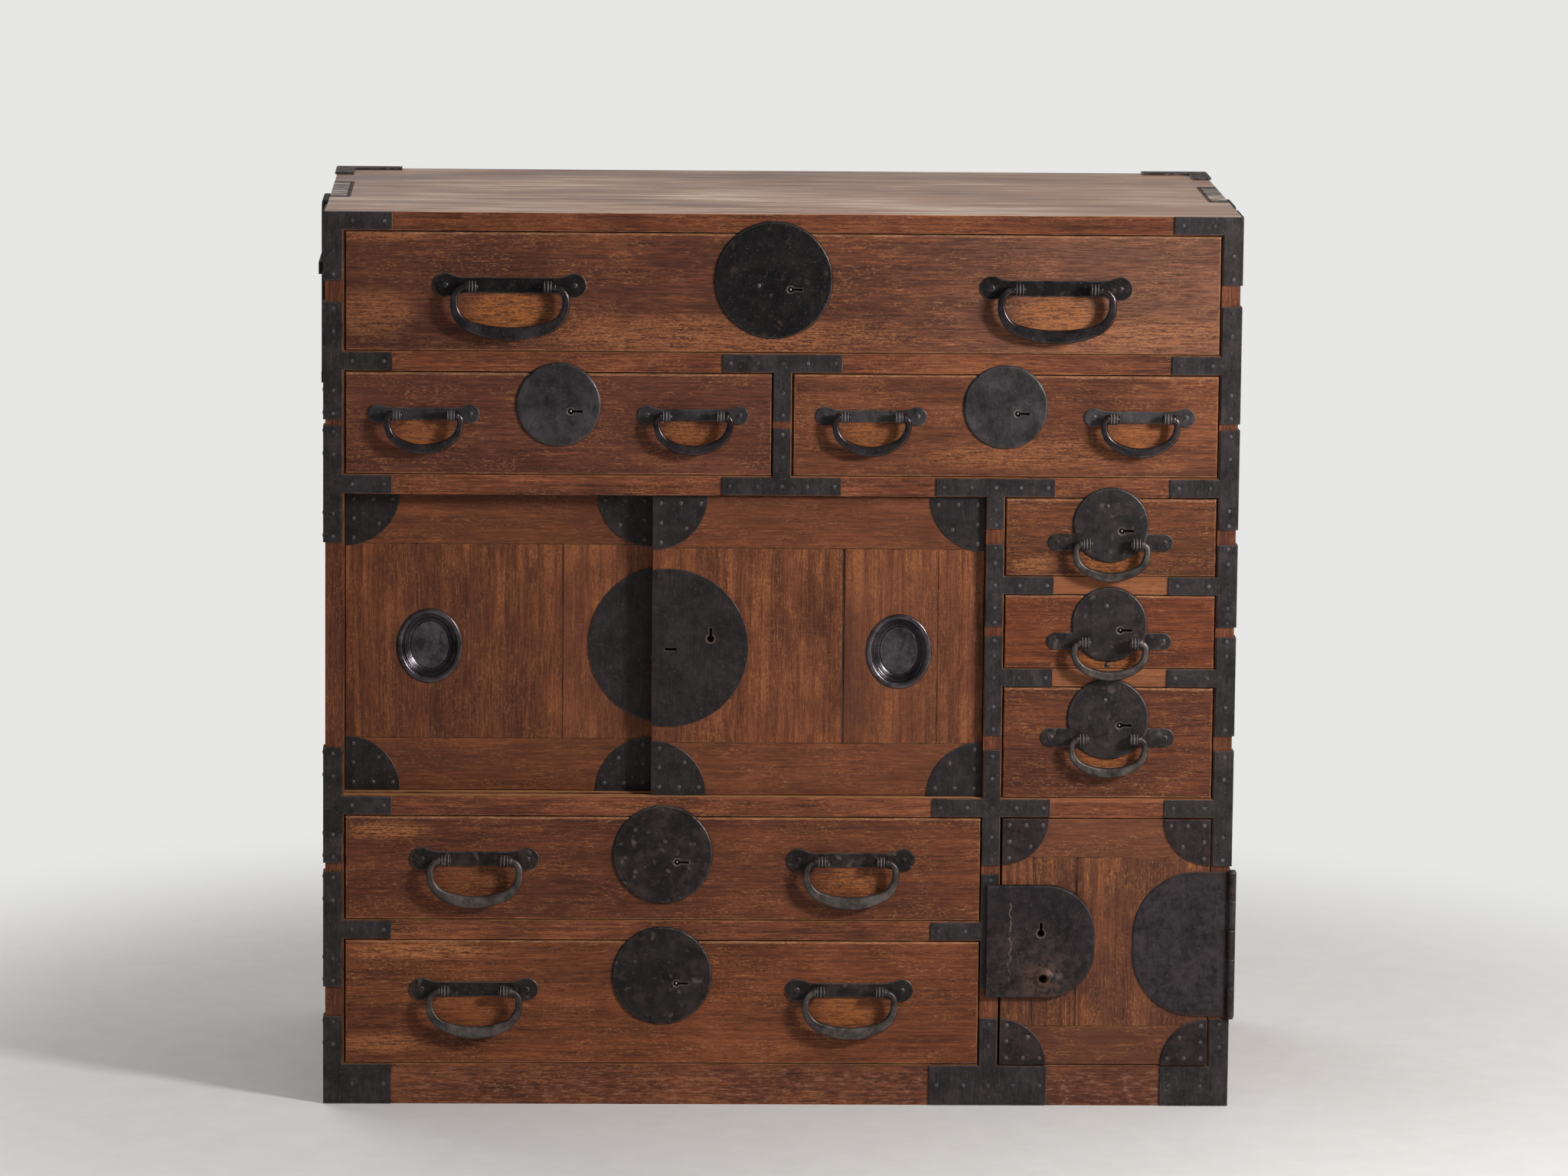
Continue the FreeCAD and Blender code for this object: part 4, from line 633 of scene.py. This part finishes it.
def knuckle_wear_and_light(node, handles, flats, dry_end_and_light_fall):
    """Bare gold wood inside the hanging bails and in a few rubbed places, pale chips along the rim, and on
    the top drawer a paler right end, partly dry greyish wood and partly painted light, with its left end
    darkened as painted shade."""
    outer = span(node, "y")[0]
    foot, head = span(node, "z")

    def marks(finish, colour, fibre, flecks):
        x, y, z = finish.parts(finish.place())
        mottle = fibre.between(0.44, 0.56) * 0.55 + flecks.between(0.42, 0.58) * 0.45
        # Top drawer: the right end is painted paler, partly dry wood and partly painted light; the left end
        # is darkened as painted shade.
        dry_and_painted_light = x.between(20.0, 330.0) * (fibre.between(0.38, 0.6) * 0.7 + 0.3) * dry_end_and_light_fall
        colour = finish.blend(dry_and_painted_light, colour, stained((170, 124, 100)))
        colour = finish.blend(x.between(-190.0, -420.0) * (dry_end_and_light_fall * 1.5), colour, stained((60, 32, 25)))
        broken = fibre.between(0.44, 0.6) * flecks.between(0.36, 0.56)
        rim = z.between(head - 2.6, head - 1.6) + z.between(foot + 2.0, foot + 1.2) * 0.5
        colour = finish.blend(rim * (broken * 0.6 + 0.16), colour, stained((164, 118, 88)))
        for centre_x, eye_z, half, wear in handles:
            across = (x - centre_x) / half
            up = (z - (eye_z - half * 0.72)) / (half * 0.52)
            patch = (across * across + up * up).between(1.7, 0.3) * (y < outer + 1.0)
            colour = finish.blend(patch * (mottle * 0.95 + 0.08) * wear, colour, stained((166, 101, 50)))
        for centre_x, centre_z, half_wide, half_high, share in flats:
            across, up = (x - centre_x) / half_wide, (z - centre_z) / half_high
            patch = (across * across + up * up).between(1.6, 0.0) * mottle
            colour = finish.blend(patch * share, colour, stained((168, 108, 66)))
        return bare_behind(finish, colour, fibre, flecks, node)
    return marks


for count, (name, handles) in enumerate(drawers.items()):
    deep, middle, warm = front_tones[name]
    dry_end_and_light_fall = 0.19 if name == "top_drawer" else 0.0
    wear = knuckle_wear_and_light(name + "_front", handles, rubbed_flats.get(name, ()), dry_end_and_light_fall)
    dress([name + "_front"], rubbed_stain(name + "_wood", "x", 71.0 + 5.0 * count, deep, middle, warm,
                                          rubbing=0.8, edge=0.8, marks=wear))
    dress([name + "_box"], inner_box)


# Round lock plates and lobed handle plates of each drawer, with the lock case behind, all blackened iron.
# The plates' low rims catch the light and are painted pale, partly rubbed wear and partly a painted
# highlight. A key pin stands in each keyhole, painted dark round it as painted shade, and some plates have a
# stud.

# Each lock plate has its middle along x and z, its radius and the place of its stud, if it has one.
lock_plates = {
    "top_drawer": (-9.3, 806.7, 56.5, (-24.0, 801.4)),
    "upper_left_drawer": (-214.5, 685.6, 40.5, None),
    "upper_right_drawer": (214.5, 685.6, 40.5, None),
    "long_drawer": (-111.5, 247.7, 48.3, None),
    "bottom_drawer": (-111.5, 128.1, 48.3, None),
    "small_drawer_one": (317.5, 571.8, 36.5, (313.5, 590.0)),
    "small_drawer_two": (317.5, 475.1, 36.5, (314.0, 493.0)),
    "small_drawer_three": (317.5, 382.5, 39.5, (314.0, 401.0)),
}
plate_face, eye_front, pin_root, wood_face = -207.8, -212.5, -187.2, -205.0
eye_spacing = {"top_drawer": 72.0, "upper_left_drawer": 52.0, "upper_right_drawer": 52.0,
               "long_drawer": 57.0, "bottom_drawer": 57.0, "small_drawer_one": 48.0,
               "small_drawer_two": 48.0, "small_drawer_three": 49.0}
ridge_pitch = 3.3
drawer_hole, drawer_slot = 2.6, 11.5


def turned_piece(name, centre, axis, profile, body, finish):
    """Piece turned on a lathe: profile is its radius at each distance along the axis, in millimetres."""
    along = Vector(axis).normalized()
    out = along.orthogonal().normalized()
    aside = along.cross(out)
    rings = [[Vector(centre) + along * distance + (out * math.cos(turn) + aside * math.sin(turn)) * radius
              for turn in turns(28)] for distance, radius in profile]
    ringed_piece(name, rings, body, finish)


def split_eyes(centres):
    """Ridges of the eye pins, whose strip is bent double round the bail's tips."""
    def ridges(finish):
        x, y, z = finish.parts(finish.place())
        raised = 0.0
        for centre in centres:
            near = abs(x - centre).between(5.6, 5.0)
            wave = ((x - centre) * (2 * math.pi / ridge_pitch)).cosine()
            raised = raised + near * wave.between(-0.2, 0.9)
        return raised, y < eye_front
    return ridges


rust = {"long_drawer": 0.5, "bottom_drawer": 0.34, "small_drawer_one": 0.3, "small_drawer_two": 0.3,
        "small_drawer_three": 0.3}
plate_blacks = {"top_drawer": (14, 12, 13), "long_drawer": (31, 26, 26), "bottom_drawer": (30, 26, 26),
                "small_drawer_one": (38, 34, 35), "small_drawer_two": (38, 33, 34),
                "small_drawer_three": (38, 33, 34)}


def keyhole_wear_and_shade(key_x, key_z, rusting):
    """Rubbed keyhole painted dark inside as painted shade, brown clouds and pale rust spots on the plate."""
    def marks(finish, colour, stains):
        clouds = finish.speckle(finish.place(), (15.0, 15.0, 15.0), 4.0, 0.65, 8.0)
        colour = finish.blend(clouds.between(0.48, 0.66) * rusting, colour, stained((66, 54, 49)))
        specks = finish.speckle(finish.place(), (9.0, 9.0, 9.0), 1.0, 0.5, 6.0)
        colour = finish.blend(specks.between(0.62, 0.76) * rusting, colour, stained((112, 98, 90)))
        return keyhole_rub_and_shade(finish, colour, stains, key_x, key_z, drawer_hole, drawer_slot, False)
    return marks


stud_iron = black_iron("stud_iron", 21.0, black=(70, 66, 64), pale=(150, 144, 138), metal=0.7)
pin_steel = black_iron("key_pin_steel", 23.0, black=(150, 146, 142), brown=(120, 98, 80),
                       pale=(200, 196, 190), gloss=0.32, metal=0.9)
for count, (name, handles) in enumerate(drawers.items()):
    lock_x, lock_z, lock_radius, stud = lock_plates[name]
    eyes = [centre_x + side * eye_spacing[name] / 2
            for centre_x, eye_z, half, wear in handles for side in (-1, 1)]
    uneven = 0.5 if name == "top_drawer" else 0.36
    black = plate_blacks.get(name, (50, 47, 49))
    key_x, key_z = lock_x + lock_radius * 0.28, lock_z - lock_radius * 0.16
    dress([name + "_ironwork"], black_iron(name + "_iron", 101.0 + 7.0 * count, black, uneven=uneven,
                                           spots=0.4, rub=0.9, edge=1.5, rounding=2.2, brushing=0.15,
                                           ridges=split_eyes(eyes),
                                           marks=keyhole_wear_and_shade(key_x, key_z, rust.get(name, 0.12))))
    turned_piece(name + "_key_pin", (key_x, pin_root, key_z), (0, -1, 0),
                 ((0.0, 1.25), (18.9, 1.25), (19.5, 1.0), (19.8, 0.5), (19.85, 0.1)),
                 name, pin_steel)
    if stud:
        turned_piece(name + "_stud", (stud[0], plate_face + 0.3, stud[1]), (0, -1, 0),
                     ((0.0, 2.3), (0.5, 2.3), (0.75, 1.9), (0.8, 1.5), (1.1, 1.3), (1.35, 0.8), (1.42, 0.2)),
                     name, stud_iron)
turned_piece("small_drawer_two_nail", (316.0, wood_face + 0.3, 435.2), (0, -1, 0),
             ((0.0, 2.6), (0.7, 2.6), (1.3, 2.1), (1.7, 1.2), (1.8, 0.2)),
             "small_drawer_two", stud_iron)


# Swinging bails of the handles, forged from bar and worn bright by hands, turned in through two eye pins.
# A collar swells where each neck meets its eye, and the tip is burred over inside it.

hand_worn = black_iron("handle_iron", 27.0, black=(64, 58, 60), brown=(70, 59, 54), pale=(176, 170, 168),
                       gloss=0.27, rub=0.7, uneven=0.25, metal=0.95, brushing=0.0, dust=0.0)
dull_worn = black_iron("dull_handle_iron", 28.0, black=(76, 70, 67), brown=(76, 62, 55), pale=(150, 144, 138),
                       gloss=0.42, rub=0.7, uneven=0.34, metal=0.8, brushing=0.0, dust=0.0)
bail_axis_y = -218.0
for name, handles in drawers.items():
    for (centre_x, eye_z, half, wear), side_name in zip(handles, ("_bail_left", "_bail_right")):
        bail_name = name + ("_bail" if len(handles) == 1 else side_name)
        bail_iron = hand_worn if name.startswith(("top", "upper")) else dull_worn
        dress([bail_name], bail_iron)
        for side, end in ((-1, "left"), (1, "right")):
            eye = (centre_x + side * eye_spacing[name] / 2, bail_axis_y, eye_z)
            turned_piece(bail_name + "_collar_" + end, eye, (side, 0, 0),
                         ((3.9, 2.4), (3.95, 3.9), (4.4, 4.5), (5.2, 4.6), (5.8, 4.2), (6.3, 4.4), (7.0, 4.3),
                          (7.6, 3.8), (8.2, 3.2), (8.25, 2.0)), bail_name, bail_iron)
            turned_piece(bail_name + "_burr_" + end, eye, (-side, 0, 0),
                         ((3.8, 2.2), (3.85, 3.3), (4.3, 3.9), (5.0, 3.8), (5.5, 3.0), (5.8, 1.6),
                          (5.85, 0.3)), bail_name, bail_iron)


# Cupboard door: upright boards between two battens, hung on an iron corner hinge, with a raised iron
# lock plate at its free edge and quarter plates on the corners.

cupboard_foot, cupboard_head, cupboard_batten = 41.0, 283.8, 38.0
cupboard_seams = ((289.6, 0.9), (247.3, 0.35))
streaks = streaked("cupboard_door_boards", cupboard_seams, cupboard_foot, cupboard_head, cupboard_batten)
dress(["cupboard_door_boards"], rubbed_stain(
    "cupboard_wood", door_lie(cupboard_foot, cupboard_head, cupboard_batten), 83.0,
    (50, 28, 20), (74, 42, 29), (98, 58, 39), rubbing=0.7, marks=streaks))

knob_x, knob_z = 257.8, 127.5
cupboard_key_x, cupboard_key_z = 255.3, 171.9
lower_plates, upper_plates, leaf_edge = 95.0, 230.0, 300.0
heads_from, heads_to, raised_plate = -207.2, -208.2, -211.0


def cupboard_iron_wear_and_shade(finish, colour, stains):
    """Browned corner plates with their nail heads, a dull hinge leaf, rust round the pull knob, scratches
    down the free edge of the raised lock plate, and a rubbed keyhole painted dark inside as painted shade."""
    x, y, z = finish.parts(finish.place())
    corners = (z < lower_plates) + (z > upper_plates)
    colour = finish.blend(corners * stains.between(0.35, 0.6) * 0.14, colour, stained((82, 56, 50)))
    heads = (y < heads_from) * (y > heads_to) * corners
    colour = finish.blend(heads * 0.6, colour, stained((84, 78, 73)))
    raised = y < raised_plate
    aside, up = x - knob_x, z - knob_z
    away = aside * aside + up * up
    rusty = away.between(620.0, 60.0) * stains.between(0.36, 0.58)
    colour = finish.blend(rusty * 0.75, colour, stained((82, 60, 48)))
    smear = (abs(aside - 14.0) + abs(up - 4.0)).between(8.0, 3.0) * raised * stains.between(0.3, 0.6)
    colour = finish.blend(smear * 0.5, colour, stained((112, 100, 96)))
    haze = (away + aside * 30.0).between(3600.0, 500.0) * stains.between(0.36, 0.66) * raised
    colour = finish.blend(haze * 0.3, colour, stained((84, 67, 60)))
    leaf = (x > leaf_edge) * (z > lower_plates + 1.0) * (z < upper_plates - 1.0)
    colour = finish.blend(leaf * stains.between(0.3, 0.6) * 0.1, colour, stained((98, 96, 102)))
    waver = finish.speckle(finish.joined(0.0, 0.0, z), (11.0, 11.0, 11.0), 2.0, 0.5, 3.0)
    line = abs(x - 220.0 - waver * 11.0).between(1.0, 0.3)
    scratch = line * z.between(112.0, 122.0) * z.between(214.0, 200.0) * stains.between(0.4, 0.56)
    # Keyhole painted dark inside as painted shade, with a rubbed pale outline.
    colour = keyhole_rub_and_shade(finish, colour, stains, cupboard_key_x, cupboard_key_z, round_hole, key_slot, True)
    return finish.blend(scratch * raised * 0.6, colour, stained((112, 102, 94)))


dress(["cupboard_door_ironwork"], black_iron("cupboard_iron", 43.0, black=(35, 29, 31), uneven=0.4,
                                              brushing=0.15, rounding=1.6, marks=cupboard_iron_wear_and_shade))
dress(["cupboard_hinge"], black_iron("hinge_iron", 45.0, black=(43, 35, 35), uneven=0.4, brushing=0.15))
dress(["cupboard_bolt"], black_iron("cupboard_bolt_iron", 47.0, black=(90, 88, 88), gloss=0.4))


# Lifting loops for a carrying pole on the two sides, flat iron bars bent into a long ring, and the
# straps nailed to the side that they slide up and down in.

dress(["lifting_loop_left", "lifting_loop_right"],
      black_iron("loop_iron", 53.0, black=(40, 38, 41), gloss=0.54, metal=0.3))
dress(["pole_guides"], black_iron("guide_iron", 57.0))


# Studio: a pale floor that fades into the backdrop, a small soft lamp to the upper right of the front, a
# larger one behind to the upper left, and a camera at the height and angle from which the chest is seen.

backdrop = (0.80, 0.80, 0.79, 1.0)
floor_mesh = bpy.data.meshes.new("studio_floor")
reach = 30.0
floor_edge = [(reach * math.cos(turn), reach * math.sin(turn), 0.0) for turn in turns(96)]
floor_mesh.from_pydata(floor_edge, [], [tuple(range(len(floor_edge)))])
floor = bpy.data.objects.new("studio_floor", floor_mesh)
bpy.context.collection.objects.link(floor)
floor_finish = new_finish("studio_floor")
spot = floor_finish.parts(floor_finish.node("ShaderNodeTexCoord", {}, {}, "Object"))
away = (spot[0] * spot[0] + spot[1] * spot[1]) ** 0.5
seen = floor_finish.node("ShaderNodeLightPath", {}, {}, "Is Camera Ray")
mirrored = floor_finish.node("ShaderNodeLightPath", {}, {}, "Is Glossy Ray")
glow = floor_finish.node("ShaderNodeEmission", {}, {"Color": backdrop, "Strength": 1.0})
matt = Measure(floor_finish, floor_finish.shader.outputs[0])
glowing = away.between(0.65, 1.35) * (seen + mirrored * spot[1].between(0.3, 1.2))
mixed = floor_finish.node("ShaderNodeMixShader", {}, {0: glowing, 1: matt, 2: glow})
floor_finish.feed(floor_finish.tree.nodes["Material Output"].inputs["Surface"], mixed)
grit = floor_finish.speckle(floor_finish.place(), (30.0, 30.0, 30.0), 4.0, 0.6, 2.0)
floor_finish.coat(base_color=grit.tones((0.3, (206, 203, 200)), (0.7, (212, 209, 206))), roughness=0.75)
floor.data.materials.append(floor_finish.material)

world = bpy.data.worlds.new("studio")
bpy.context.scene.world = world
air = Finish(world)
soft_light = Measure(air, air.tree.nodes["Background"].outputs[0])
air.tree.nodes["Background"].inputs["Color"].default_value = (1.0, 1.0, 1.0, 1.0)
air.tree.nodes["Background"].inputs["Strength"].default_value = 0.42
towards = air.parts(air.node("ShaderNodeTexCoord", {}, {}, "Generated"))
behind = air.blend(towards[1].between(-0.3, 0.5), (0.26, 0.26, 0.26, 1.0), backdrop)
mirrored_air = air.node("ShaderNodeBackground", {}, {"Color": behind, "Strength": 1.0})
seen_air = air.node("ShaderNodeBackground", {}, {"Color": backdrop, "Strength": 1.0})
glossy_ray = air.node("ShaderNodeLightPath", {}, {}, "Is Glossy Ray")
camera_ray = air.node("ShaderNodeLightPath", {}, {}, "Is Camera Ray")
lit = air.node("ShaderNodeMixShader", {}, {0: glossy_ray, 1: soft_light, 2: mirrored_air})
air.feed(air.tree.nodes["World Output"].inputs["Surface"],
         air.node("ShaderNodeMixShader", {}, {0: camera_ray, 1: lit, 2: seen_air}))


def softbox(name, towards, distance, size, power):
    """Square lamp that faces the middle of the chest."""
    middle = Vector((0.0, -0.2, 0.45))
    lamp = bpy.data.lights.new(name, "AREA")
    lamp.shape = "SQUARE"
    lamp.size = size
    lamp.energy = power
    stand = bpy.data.objects.new(name, lamp)
    direction = Vector(towards).normalized()
    stand.location = middle + direction * distance
    stand.rotation_euler = direction.to_track_quat("Z", "Y").to_euler()
    bpy.context.collection.objects.link(stand)


softbox("key_lamp", (1.15, -1.0, 0.6), 2.3, 0.38, 62.0)
softbox("back_lamp", (-0.9, 1.3, 0.75), 3.4, 2.0, 34.0)

bpy.context.scene.view_settings.view_transform = "Standard"
yaw, tilt, roll = 0.03051, 0.15342, 0.00976
turned = Matrix(((math.cos(yaw), -math.sin(yaw), 0), (math.sin(yaw), math.cos(yaw), 0), (0, 0, 1)))
tipped = Matrix(((1, 0, 0), (0, math.cos(tilt), -math.sin(tilt)), (0, math.sin(tilt), math.cos(tilt))))
rolled = Matrix(((math.cos(roll), 0, math.sin(roll)), (0, 1, 0), (-math.sin(roll), 0, math.cos(roll))))
right, ahead, up = rolled @ tipped @ turned
camera_data = bpy.data.cameras.new("camera")
camera_data.sensor_width = 36.0
camera_data.lens = 168.34
camera_data.clip_end = 100.0
camera_place = (-0.20974, -7.17663, 1.58725)
camera = bpy.data.objects.new("camera", camera_data)
bpy.context.collection.objects.link(camera)
facing = Matrix((right, up, -ahead)).transposed().to_4x4()
camera.matrix_world = Matrix.Translation(camera_place) @ facing
bpy.context.scene.camera = camera
